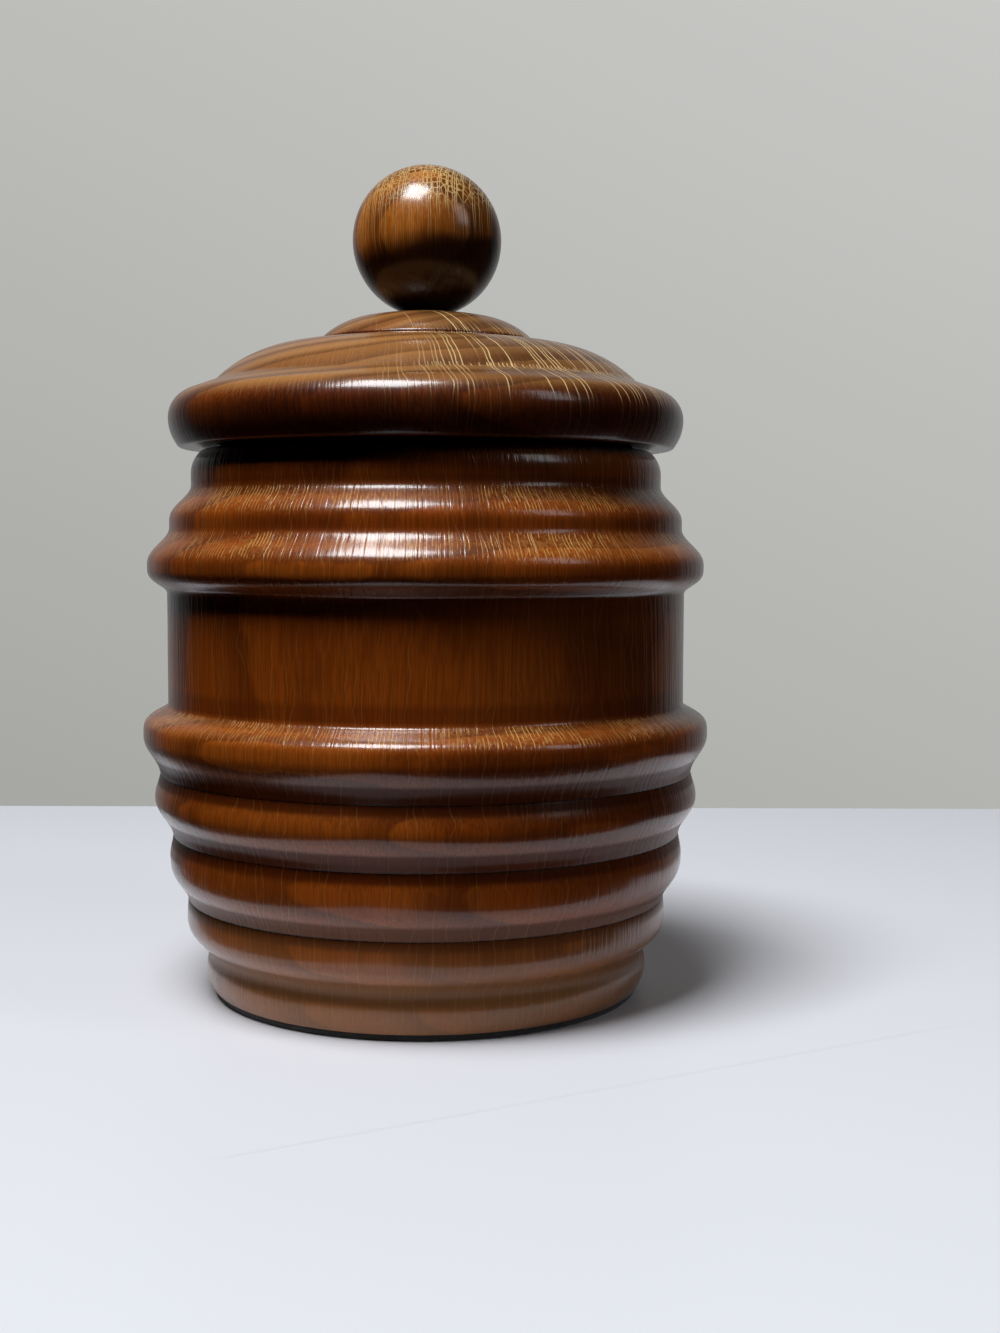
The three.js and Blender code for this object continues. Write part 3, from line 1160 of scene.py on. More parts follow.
# The lid: painted shade on the rim's front and on its side at shade_heading, and a level top in the lighter
# tone that on the dome is partly painted sheen
LID_OAK = OakFinish(
    "lacquered_oak_lid", DARK, LID_PITH, ring_width=4.6, ray_count=92, ray_width=0.24, ray_height=30.0,
    ray_reach=34.0, ray_wander=0.6, top_share=1.0, side_share=0.15, ray_side=0.92, ray_heading=5.0,
    net_share=0.03, tick_share=0.0, nook_share=0.8, worn_and_sheen_share=0.85, hollow_stain_and_shade_share=0.1, dust_share=0.0,
    fibre_share=0.25, under_shade_share=0.4, under_shade_from=0.5, under_shade_to=-0.1, shade_share=0.45, coat_relief=0.012,
)
RECESS_OAK = OakFinish("raw_oak_recess", RAW, LID_PITH, lacquered=False)

KNOB_PITH = (9.0, 78.0)
# The knob: its lower half and its side at shade_heading are darkened with painted shade
KNOB_OAK = OakFinish(
    "lacquered_oak_knob", LIGHT, KNOB_PITH, ray_count=300, ray_width=0.15, ray_wander=0.5, top_share=0.9,
    side_share=0.4, net_size=1.1, net_share=0.95, tick_share=0.0, dust_share=0.0, under_shade_share=0.95,
    under_shade_from=0.04, under_shade_to=-0.3, under_shade_tilt=0.16, shade_share=0.6, shade_heading=-10.0, coat_relief=0.008,
)


@dataclass(frozen=True)
class FeltFinish:
    """Black pressed felt.

    Attributes:
        name: Name of the material.
        dark: Colour between hairs.
        light: Colour of the hairs.
        hair_width: Width of a hair.
        hair_bend: Length of one bend of a hair.
        hair_shift: How far it bends.
        clump_size: Width of a clump of hairs.
        clump_share: How much clumps count beside hairs.
        depth: Depth of the relief.
    """

    name: str = "black_felt"
    dark: Colour = (0.006, 0.0055, 0.005, 1)
    light: Colour = (0.022, 0.020, 0.018, 1)
    hair_width: float = 0.22
    hair_bend: float = 0.8
    hair_shift: float = 1.2
    clump_size: float = 2.6
    clump_share: float = 0.3
    depth: float = 0.25

    HAIR_SPAN = (0.35, 0.65)

    def material(self) -> Material:
        """Makes the material.

        Returns:
            The material.
        """
        s = Shading(self.name)
        place = s.place()
        hairs = s.noise(s.drift(place, self.hair_bend, self.hair_shift), self.hair_width, 3.0)
        clumps = s.noise(place, self.clump_size, 2.0)
        mixed = s.plus(s.times(hairs, 1 - self.clump_share), s.times(clumps, self.clump_share))
        return s.finish(
            Base_Color=s.blend(s.ease(mixed, *self.HAIR_SPAN), self.dark, self.light),
            Roughness=1.0, Normal=s.bump(mixed, self.depth), Sheen_Weight=0.35, Sheen_Roughness=0.6,
        )


@dataclass(frozen=True)
class GlazeFinish:
    """Cream gloss glaze over stoneware, thinner and browner on edges, with iron specks.

    Attributes:
        name: Name of the material.
        thick: Colour of thick glaze.
        pooled: Colour where it ran together.
        thin: Colour where it is thin.
        speck: Colour of a speck.
        flow_size: Width of a run of glaze.
        speck_spacing: Distance between specks.
        speck_bend: Width of one bend of a speck's edge.
        speck_shift: How far it bends.
        speck_patch: Width of a patch that has specks.
        peel_size: Width of one swell of the surface.
        depth: Depth of those swells.
    """

    name: str = "cream_glaze"
    thick: Colour = (0.78, 0.69, 0.51, 1)
    pooled: Colour = (0.68, 0.57, 0.38, 1)
    thin: Colour = (0.42, 0.26, 0.12, 1)
    speck: Colour = (0.16, 0.08, 0.03, 1)
    flow_size: float = 14.0
    speck_spacing: float = 2.4
    speck_bend: float = 1.5
    speck_shift: float = 0.6
    speck_patch: float = 7.0
    peel_size: float = 1.8
    depth: float = 0.03

    FLOW_STRETCH = (1.0, 1.0, 0.3)
    FLOW_SPAN = (0.35, 0.65)
    POOL_NOOK = (0.05, 0.4)
    POOL_SHARE = 0.7
    EDGE_NOOK = (-0.12, -0.45)
    EDGE_SHARE = 0.85
    SPECK_SPAN = (0.2, 0.1)
    PATCH_SPAN = (0.5, 0.62)
    PEEL_SPAN = (0.3, 0.7)
    ROUGHNESS = (0.14, 0.2)

    def material(self) -> Material:
        """Makes the material.

        Returns:
            The material.
        """
        s = Shading(self.name)
        place = s.place()
        nook = s.mark("nook")
        flow = s.noise(s.vector("MULTIPLY", place, self.FLOW_STRETCH), self.flow_size, 3.0)
        colour = s.blend(s.ease(flow, *self.FLOW_SPAN), self.thick, self.pooled)
        colour = s.blend(s.ease(nook, *self.POOL_NOOK, 0.0, self.POOL_SHARE), colour, self.pooled)
        colour = s.blend(s.ease(nook, *self.EDGE_NOOK, 0.0, self.EDGE_SHARE), colour, self.thin)
        specks = s.cells(s.drift(place, self.speck_bend, self.speck_shift), self.speck_spacing, "F1")
        some = s.ease(s.noise(place, self.speck_patch, 2.0), *self.PATCH_SPAN)
        colour = s.blend(s.times(s.ease(specks, *self.SPECK_SPAN), some), colour, self.speck)
        peel = s.noise(place, self.peel_size, 2.0)
        return s.finish(
            Base_Color=colour, Roughness=s.ease(peel, *self.PEEL_SPAN, *self.ROUGHNESS),
            Normal=s.bump(peel, self.depth), Coat_Weight=0.5, Coat_Roughness=0.05,
        )


@dataclass(frozen=True)
class StonewareFinish:
    """Fired stoneware where it has no glaze.

    Attributes:
        name: Name of the material.
        body: Colour of the body.
        grog: Colour of the coarse grains in it.
        grain_size: Width of a grain.
        depth: Depth of the relief.
    """

    name: str = "bare_stoneware"
    body: Colour = (0.42, 0.33, 0.23, 1)
    grog: Colour = (0.26, 0.17, 0.10, 1)
    grain_size: float = 0.9
    depth: float = 0.06

    GROG_SPAN = (0.5, 0.68)

    def material(self) -> Material:
        """Makes the material.

        Returns:
            The material.
        """
        s = Shading(self.name)
        grains = s.noise(s.place(), self.grain_size, 3.0)
        colour = s.blend(s.ease(grains, *self.GROG_SPAN), self.body, self.grog)
        return s.finish(Base_Color=colour, Roughness=0.85, Normal=s.bump(grains, self.depth))


@dataclass(frozen=True)
class CorkFinish:
    """Pressed cork: packed granules with dark seams and pits.

    Attributes:
        name: Name of the material.
        pale: Colour of the palest granule.
        brown: Colour of the darkest granule.
        seam: Colour of seams and pits.
        granule_size: Width of a granule.
        seam_bend: Width of one bend of a seam.
        seam_shift: How far it bends.
        pit_size: Width of a pit.
        depth: Depth of the relief.
    """

    name: str = "pressed_cork"
    pale: Colour = (0.50, 0.31, 0.15, 1)
    brown: Colour = (0.30, 0.16, 0.065, 1)
    seam: Colour = (0.09, 0.042, 0.016, 1)
    granule_size: float = 1.7
    seam_bend: float = 1.2
    seam_shift: float = 0.9
    pit_size: float = 0.55
    depth: float = 0.12

    SEAM_SPAN = (0.09, 0.01)
    SEAM_SHARE = 0.8
    SEAM_SLOPE = (0.0, 0.1)
    PIT_SPAN = (0.60, 0.72)
    PIT_SLOPE = (0.58, 0.72)

    def material(self) -> Material:
        """Makes the material.

        Returns:
            The material.
        """
        s = Shading(self.name)
        place = s.drift(s.place(), self.seam_bend, self.seam_shift)
        tone = s.split(s.cells(place, self.granule_size, "F1", "Color"))[0]
        seams = s.cells(place, self.granule_size, "DISTANCE_TO_EDGE")
        pits = s.noise(place, self.pit_size, 2.0)
        colour = s.blend(tone, self.pale, self.brown)
        colour = s.blend(s.ease(seams, *self.SEAM_SPAN, 0.0, self.SEAM_SHARE), colour, self.seam)
        colour = s.blend(s.ease(pits, *self.PIT_SPAN), colour, self.seam)
        relief = s.less(s.ease(seams, *self.SEAM_SLOPE), s.ease(pits, *self.PIT_SLOPE))
        return s.finish(Base_Color=colour, Roughness=0.88, Normal=s.bump(relief, self.depth))


@dataclass(frozen=True)
class BrassFinish:
    """Satin brass, with brown tarnish in nooks and patches.

    Attributes:
        name: Name of the material.
        bright: Colour where it is clean.
        dull: Colour where it is dull.
        tarnish: Colour of tarnish.
        ringed: Whether it has the rings of its spinning.
        ring_width: Width of such a ring.
        brush_size: Width of a mark of the brush where it has none.
        cloud_size: Width of a dull patch.
        spot_size: Width of a spot of tarnish.
        depth: Depth of the relief.
    """

    name: str = "satin_brass"
    bright: Colour = (0.72, 0.46, 0.15, 1)
    dull: Colour = (0.48, 0.27, 0.08, 1)
    tarnish: Colour = (0.12, 0.07, 0.03, 1)
    ringed: bool = True
    ring_width: float = 0.28
    brush_size: float = 0.35
    cloud_size: float = 6.5
    spot_size: float = 1.6
    depth: float = 0.008

    CLOUD_SPAN = (0.42, 0.68)
    SPOT_SPAN = (0.58, 0.74)
    SPOT_SHARE = 0.6
    TARNISH_NOOK = (0.05, 0.35)
    NOOK_SHARE = 0.75
    RING_SPAN = (0.3, 0.7)
    RING_ROUGHNESS = (-0.05, 0.07)
    ROUGHNESS = (0.24, 0.4)

    def material(self) -> Material:
        """Makes the material.

        Returns:
            The material.
        """
        s = Shading(self.name)
        place = s.place()
        marks = self._rings(s, place) if self.ringed else s.noise(place, self.brush_size, 2.0)
        age = s.ease(s.noise(place, self.cloud_size, 4.0), *self.CLOUD_SPAN)
        spots = s.ease(s.noise(place, self.spot_size, 3.0), *self.SPOT_SPAN, 0.0, self.SPOT_SHARE)
        nooks = s.ease(s.mark("nook"), *self.TARNISH_NOOK, 0.0, self.NOOK_SHARE)
        colour = s.blend(age, self.bright, self.dull)
        colour = s.blend(spots, colour, self.tarnish)
        colour = s.blend(nooks, colour, self.tarnish)
        marked = s.ease(marks, *self.RING_SPAN, *self.RING_ROUGHNESS)
        roughness = s.plus(s.ease(age, 0.0, 1.0, *self.ROUGHNESS), marked)
        relief = s.bump(marks, self.depth)
        return s.finish(Base_Color=colour, Metallic=1.0, Roughness=roughness, Normal=relief)

    def _rings(self, s: Shading, place: Wire) -> Socket:
        """Draws the rings of the spinning.

        Args:
            s: The material's tree.
            place: Place on the piece.

        Returns:
            Random values, the same all the way round the axis.
        """
        x, y, z = s.split(place)
        reach = s.length(s.join(x, y, 0.0))
        return s.noise(s.join(reach, 0.0, z), self.ring_width, 2.0)


@dataclass(frozen=True)
class ClayFinish:
    """Unglazed red clay, open enough to hold water.

    Attributes:
        name: Name of the material.
        fired: Colour of the clay.
        pale: Colour of its pale patches.
        dark: Colour of its dark grains.
        cloud_size: Width of a pale patch.
        grain_size: Width of a grain.
        depth: Depth of the relief.
    """

    name: str = "red_clay"
    fired: Colour = (0.47, 0.185, 0.095, 1)
    pale: Colour = (0.56, 0.29, 0.18, 1)
    dark: Colour = (0.27, 0.10, 0.055, 1)
    cloud_size: float = 7.0
    grain_size: float = 0.5
    depth: float = 0.1

    CLOUD_SPAN = (0.4, 0.7)
    GRAIN_SPAN = (0.58, 0.74)

    def material(self) -> Material:
        """Makes the material.

        Returns:
            The material.
        """
        s = Shading(self.name)
        place = s.place()
        clouds = s.noise(place, self.cloud_size, 3.0)
        grains = s.noise(place, self.grain_size, 3.0)
        colour = s.blend(s.ease(clouds, *self.CLOUD_SPAN), self.fired, self.pale)
        colour = s.blend(s.ease(grains, *self.GRAIN_SPAN), colour, self.dark)
        return s.finish(Base_Color=colour, Roughness=0.95, Normal=s.bump(grains, self.depth))


@dataclass(frozen=True)
class Turning:
    """A crest or a hollow of the body's outline.

    Attributes:
        out: How far it stands outside the plain band.
        rise: Its height above the turning below it.
        under: Fullness of a crest's lower side, where 1 is an even wave.
        over: Fullness of a crest's upper side.
    """

    out: float
    rise: float
    under: float = 1.0
    over: float = 1.0


def body_turnings() -> dict[str, Turning]:
    """Lists the turnings of the body from its foot to its neck.

    Returns:
        Each turning by its name.
    """
    return {
        "foot groove": Turning(out=-8.9, rise=3.5),
        "fourth rib": Turning(out=-4.0, rise=8.8, under=1.4),
        "third hollow": Turning(out=-4.2, rise=4.2),
        "third rib": Turning(out=-0.1, rise=10.5, under=1.5),
        "second hollow": Turning(out=-0.8, rise=4.7),
        "second rib": Turning(out=3.25, rise=8.8, over=1.2),
        "first hollow": Turning(out=2.05, rise=5.8),
        "lower bead": Turning(out=5.75, rise=8.8, over=2.2),
        "band foot": Turning(out=0.0, rise=7.4),
        "band top": Turning(out=0.0, rise=26.0),
        "upper bead": Turning(out=4.55, rise=6.3, under=1.8, over=1.2),
        "step foot": Turning(out=-0.65, rise=8.7),
        "step top": Turning(out=-0.65, rise=1.5, over=1.2),
        "neck foot": Turning(out=-5.7, rise=8.3),
        "neck top": Turning(out=-5.7, rise=2.7),
    }


@dataclass
class JarBody:
    """Ribbed oak barrel with a bored inside and a felt under its foot.

    The point of the turner's tool left a fine line in each hollow between ribs.
    """

    band_radius: float = 61.2
    foot_out: float = -8.5
    foot_round: float = 8.2
    foot_under_slope: float = 128.0
    turnings: dict[str, Turning] = field(default_factory=body_turnings)
    tool_line: float = 0.18
    lip_round: float = 7.2
    lip_edge_slope: float = 40.0
    mouth_wall: float = 3.9
    ledge_width: float = 4.0
    ledge_depth: float = 5.0
    floor_thickness: float = 12.5
    felt_thickness: float = 1.5
    felt_inset: float = 0.65
    felt_edge_round: float = 0.45
    edge_round: float = 0.35
    wander: float = 0.12
    wall_margin: float = 1.0
    foot_margin: float = 2.0
    sides: int = 232
    felt_sides: int = 160

    @property
    def mouth_height(self) -> float:
        """Height of the mouth."""
        rises = sum(turning.rise for turning in self.turnings.values())
        foot = -self.foot_round * math.cos(math.radians(self.foot_under_slope))
        lip = self.lip_round * math.cos(math.radians(self.lip_edge_slope))
        return self.felt_thickness + foot + rises + lip

    @property
    def mouth_radius(self) -> float:
        """Radius of the outer edge of the mouth."""
        neck = self.band_radius + self.turnings["neck top"].out
        return neck - self.lip_round * (1 - math.sin(math.radians(self.lip_edge_slope)))

    @property
    def rebate_radius(self) -> float:
        """Radius of the rebate that the liner's flange lies in."""
        return self.mouth_radius - self.mouth_wall

    @property
    def bore_radius(self) -> float:
        """Radius of the bore that the liner hangs in."""
        return self.rebate_radius - self.ledge_width

    @property
    def ledge_height(self) -> float:
        """Height of the ledge that carries the liner."""
        return self.mouth_height - self.ledge_depth

    @property
    def underside_radius(self) -> float:
        """Radius of the flat under the foot."""
        foot = self.band_radius + self.foot_out
        return foot - self.foot_round * (1 - math.sin(math.radians(self.foot_under_slope)))

    def outline(self) -> Outline:
        """Draws the half section of the oak.

        Returns:
            The outline.
        """
        cut = Outline(0.0, self.felt_thickness).line(self.underside_radius, self.felt_thickness)
        cut.roll(self.foot_round, self.foot_under_slope, UPRIGHT)
        over = 1.0
        for name, turning in self.turnings.items():
            radius, height = self.band_radius + turning.out, cut.end[1] + turning.rise
            if math.isclose(radius, cut.end[0]):
                cut.line(radius, height, divided=True)
            else:
                cut.wave(radius, height, over if radius < cut.end[0] else turning.under)
            over = turning.over
            if name.endswith("hollow"):
                cut.score()
        cut.sink_lines(self.tool_line)
        cut.roll(self.lip_round, UPRIGHT, self.lip_edge_slope)
        cut.line(self.rebate_radius, self.mouth_height).line(self.rebate_radius, self.ledge_height)
        cut.line(self.bore_radius, self.ledge_height)
        floor = self.felt_thickness + self.floor_thickness
        return cut.line(self.bore_radius, floor).line(0.0, floor)

    def is_bare(self, radius: float, height: float) -> bool:
        """Whether a place on the oak has no stain or lacquer."""
        return height < self.felt_thickness + FACE_MARGIN or radius < self.bore_radius + FACE_MARGIN

    def is_skin(self, radius: float, height: float) -> bool:
        """Whether a place on the oak is on its sanded outside."""
        outside = radius > self.rebate_radius + self.wall_margin
        return outside and height > self.felt_thickness + self.foot_margin

    def make(self) -> None:
        """Builds and dresses the oak and the felt."""
        barrel = Turned("oak_barrel", self.outline(), self.sides, edge_round=self.edge_round,
                        wander=self.wander, skin=self.is_skin).build()
        dress(barrel, BARREL_OAK.material(), BORE_OAK.material(), self.is_bare)
        mount(barrel, "jar_body", Rider.JAR, Slot.OAK)
        self.make_felt()

    def make_felt(self) -> None:
        """Builds and dresses the felt."""
        radius = self.underside_radius - self.felt_inset
        top = self.felt_thickness
        cut = Outline(0.0, 0.0).line(radius, 0.0).line(radius, top).line(0.0, top)
        felt = Turned("felt_disc", cut, self.felt_sides, edge_round=self.felt_edge_round).build()
        dress(felt, FeltFinish().material())
        mount(felt, "base_felt", Rider.JAR, Slot.FELT)


@dataclass
class Liner:
    """Glazed stoneware pot that hangs by its flange in the body's mouth, and the cork ring on it."""

    body: JarBody
    clearance: float = 0.6
    floor_gap: float = 1.0
    wall: float = 3.6
    floor: float = 4.5
    outer_corner: float = 5.0
    inner_corner: float = 7.0
    flange_thickness: float = 3.6
    flange_clearance: float = 0.4
    flange_edge_round: float = 0.7
    throwing_depth: float = 0.16
    throwing_pitch: float = 7.0
    throwing_fade: float = 0.25
    wiped_height: float = 1.5
    seal_thickness: float = 2.0
    seal_edge_round: float = 0.25
    sides: int = 192

    @property
    def outer_radius(self) -> float:
        """Radius of the pot's outside."""
        return self.body.bore_radius - self.clearance

    @property
    def inner_radius(self) -> float:
        """Radius of the pot's inside."""
        return self.outer_radius - self.wall

    @property
    def flange_radius(self) -> float:
        """Radius of the flange and of the cork ring."""
        return self.body.rebate_radius - self.flange_clearance

    @property
    def seat_height(self) -> float:
        """Height of the top of the flange."""
        return self.body.ledge_height + self.flange_thickness

    @property
    def top_height(self) -> float:
        """Height of the top of the cork ring, which the lid rests on."""
        return self.seat_height + self.seal_thickness

    @property
    def bottom_height(self) -> float:
        """Height of the pot's underside."""
        return self.body.felt_thickness + self.body.floor_thickness + self.floor_gap

    def thrown(self, cut: Outline, height: float, side: int) -> None:
        """Cuts a wall with the faint rings that the potter's fingers leave.

        Args:
            cut: The outline, at the wall's start.
            height: Height at which the wall ends.
            side: -1 where the rings are cut into the outside, 1 into the inside.
        """
        radius, start = cut.end
        count = cut.steps(abs(height - start))
        for step in range(1, count + 1):
            at = start + (height - start) * step / count
            ring = (1 - math.cos(2 * math.pi * (at - start) / self.throwing_pitch)) / 2
            fade = min(1.0, (1 - step / count) / self.throwing_fade)
            cut.points.append((radius + side * self.throwing_depth * ring * fade, at))

    def outline(self) -> Outline:
        """Draws the half section of the pot.

        Returns:
            The outline.
        """
        cut = Outline(0.0, self.bottom_height).line(self.outer_radius - self.outer_corner, self.bottom_height)
        cut.roll(self.outer_corner, UNDERSIDE, UPRIGHT)
        self.thrown(cut, self.body.ledge_height, -1)
        cut.line(self.flange_radius, self.body.ledge_height).line(self.flange_radius, self.seat_height)
        cut.line(self.inner_radius, self.seat_height)
        inner_floor = self.bottom_height + self.floor
        self.thrown(cut, inner_floor + self.inner_corner, 1)
        cut.roll(self.inner_corner, UPRIGHT, UNDERSIDE)
        return cut.line(0.0, inner_floor)

    def is_unglazed(self, radius: float, height: float) -> bool:
        """Whether a place on the pot was wiped clean of glaze for firing."""
        return height < self.bottom_height + self.wiped_height

    def make(self) -> None:
        """Builds and dresses the pot and the cork ring."""
        pot = Turned("stoneware_liner", self.outline(), self.sides, edge_round=self.flange_edge_round).build()
        dress(pot, GlazeFinish().material(), StonewareFinish().material(), self.is_unglazed)
        mount(pot, "liner", Rider.LINER, Slot.GLAZE)
        self.make_seal()

    def make_seal(self) -> None:
        """Builds and dresses the cork ring."""
        cut = Outline(self.inner_radius, self.seat_height).line(self.flange_radius, self.seat_height)
        cut.line(self.flange_radius, self.top_height).line(self.inner_radius, self.top_height)
        cut.line(self.inner_radius, self.seat_height)
        ring = Turned("cork_ring", cut, self.sides, edge_round=self.seal_edge_round).build()
        dress(ring, CorkFinish().material())
        mount(ring, "lid_seal", Rider.SEAL, Slot.CORK)


@dataclass
class Lid:
    """Domed oak lid with a rolled rim and a spigot, and the ball knob tenoned into it."""

    liner: Liner
    overhang: float = 7.7
    rim_edge_round: float = 1.2
    rim_under_slope: float = 128.0
    rim_lower_round: float = 10.2
    rim_upper_round: float = 6.8
    shelf_slope: float = 20.0
    shelf_width: float = 6.2
    dome_foot_slope: float = 45.6
    dome_round: float = 29.7
    land_slope: float = 6.7
    cap_radius: float = 25.4
    cap_step: float = 0.6
    cap_edge_slope: float = 45.5
    cap_edge_round: float = 19.0
    cap_round: float = 84.0
    spigot_clearance: float = 0.8
    spigot_depth: float = 8.0
    recess_wall: float = 15.0
    recess_height: float = 12.0
    ball_radius: float = 17.5
    knob_seat_radius: float = 4.9
    tenon_radius: float = 4.0
    tenon_length: float = 14.0
    tenon_clearance: float = 0.3
    tenon_end_gap: float = 0.5
    edge_round: float = 0.25
    knob_edge_round: float = 0.2
    wander: float = 0.10
    seat_margin: float = 1.0
    knob_margin: float = 2.0
    tenon_margin: float = 0.5
    sides: int = 232
    ball_sides: int = 144

    @property
    def seat_height(self) -> float:
        """Height of the flat underside, which rests on the cork ring."""
        return self.liner.top_height

    @property
    def radius(self) -> float:
        """Radius of the rim."""
        return self.liner.body.mouth_radius + self.overhang

    @property
    def spigot_radius(self) -> float:
        """Radius of the spigot."""
        return self.liner.inner_radius - self.spigot_clearance

    @property
    def spigot_foot(self) -> float:
        """Height of the spigot's underside."""
        return self.seat_height - self.spigot_depth

    @property
    def recess_radius(self) -> float:
        """Radius of the recess in the spigot."""
        return self.spigot_radius - self.recess_wall

    def outline(self) -> Outline:
        """Draws the half section of the lid.

        Returns:
            The outline.
        """
        recess_top = self.spigot_foot + self.recess_height
        cut = Outline(0.0, recess_top).line(self.recess_radius, recess_top)
        cut.line(self.recess_radius, self.spigot_foot).line(self.spigot_radius, self.spigot_foot)
        cut.line(self.spigot_radius, self.seat_height)
        sine = math.sin(math.radians(self.rim_under_slope))
        flat_edge = self.radius - self.rim_lower_round * (1 - sine) - self.rim_edge_round * sine
        cut.line(flat_edge, self.seat_height)
        cut.roll(self.rim_edge_round, UNDERSIDE, self.rim_under_slope)
        cut.roll(self.rim_lower_round, self.rim_under_slope, UPRIGHT)
        cut.roll(self.rim_upper_round, UPRIGHT, self.shelf_slope)
        edge, height = cut.end
        rise = self.shelf_width * math.tan(math.radians(self.shelf_slope))
        cut.line(edge - self.shelf_width, height + rise, divided=True)
        cut.roll(self.dome_round, self.dome_foot_slope, self.land_slope)
        edge, height = cut.end
        rise = (edge - self.cap_radius) * math.tan(math.radians(self.land_slope))
        cut.line(self.cap_radius, height + rise, divided=True)
        cut.line(self.cap_radius, cut.end[1] + self.cap_step)
        edge_centre = self.cap_radius - self.cap_edge_round * math.sin(math.radians(self.cap_edge_slope))
        crown_slope = math.degrees(math.asin(edge_centre / (self.cap_round - self.cap_edge_round)))
        cut.roll(self.cap_edge_round, self.cap_edge_slope, crown_slope)
        top_slope = math.degrees(math.asin(self.knob_seat_radius / self.cap_round))
        cut.roll(self.cap_round, crown_slope, top_slope)
        top = cut.end[1]
        hole_radius = self.tenon_radius + self.tenon_clearance
        hole_floor = top - self.tenon_length - self.tenon_end_gap
        return cut.line(hole_radius, top).line(hole_radius, hole_floor).line(0.0, hole_floor)

    def knob_outline(self, seat: float) -> Outline:
        """Draws the half section of the knob.

        Args:
            seat: Height of the flat that it sits on.

        Returns:
            The outline.
        """
        cut = Outline(0.0, seat - self.tenon_length).line(self.tenon_radius, seat - self.tenon_length)
        cut.line(self.tenon_radius, seat).line(self.knob_seat_radius, seat)
        seat_slope = UNDERSIDE - math.degrees(math.asin(self.knob_seat_radius / self.ball_radius))
        return cut.roll(self.ball_radius, seat_slope, 0.0)

    def is_bare(self, radius: float, height: float) -> bool:
        """Whether a place on the lid has no stain or lacquer."""
        low = height < self.seat_height + self.recess_height
        in_recess = low and radius < self.recess_radius + FACE_MARGIN
        return in_recess or radius < self.tenon_radius + self.tenon_margin

    def is_skin(self, radius: float, height: float) -> bool:
        """Whether a place on the lid is on its sanded outside."""
        outside = height > self.seat_height + self.seat_margin
        return outside and radius > self.knob_seat_radius + self.knob_margin

    def make(self) -> None:
        """Builds and dresses the lid and the knob."""
        outline = self.outline()
        seat = max(height for _, height in outline.points)
        lid = Turned("oak_lid", outline, self.sides, edge_round=self.edge_round, wander=self.wander,
                     skin=self.is_skin).build()
        dress(lid, LID_OAK.material(), RECESS_OAK.material(), self.is_bare)
        mount(lid, "lid", Rider.LID, Slot.OAK)
        knob = Turned("oak_ball_knob", self.knob_outline(seat), self.ball_sides,
                      edge_round=self.knob_edge_round).build()
        dress(knob, KNOB_OAK.material())
        mount(knob, "knob", Rider.LID, Slot.OAK)


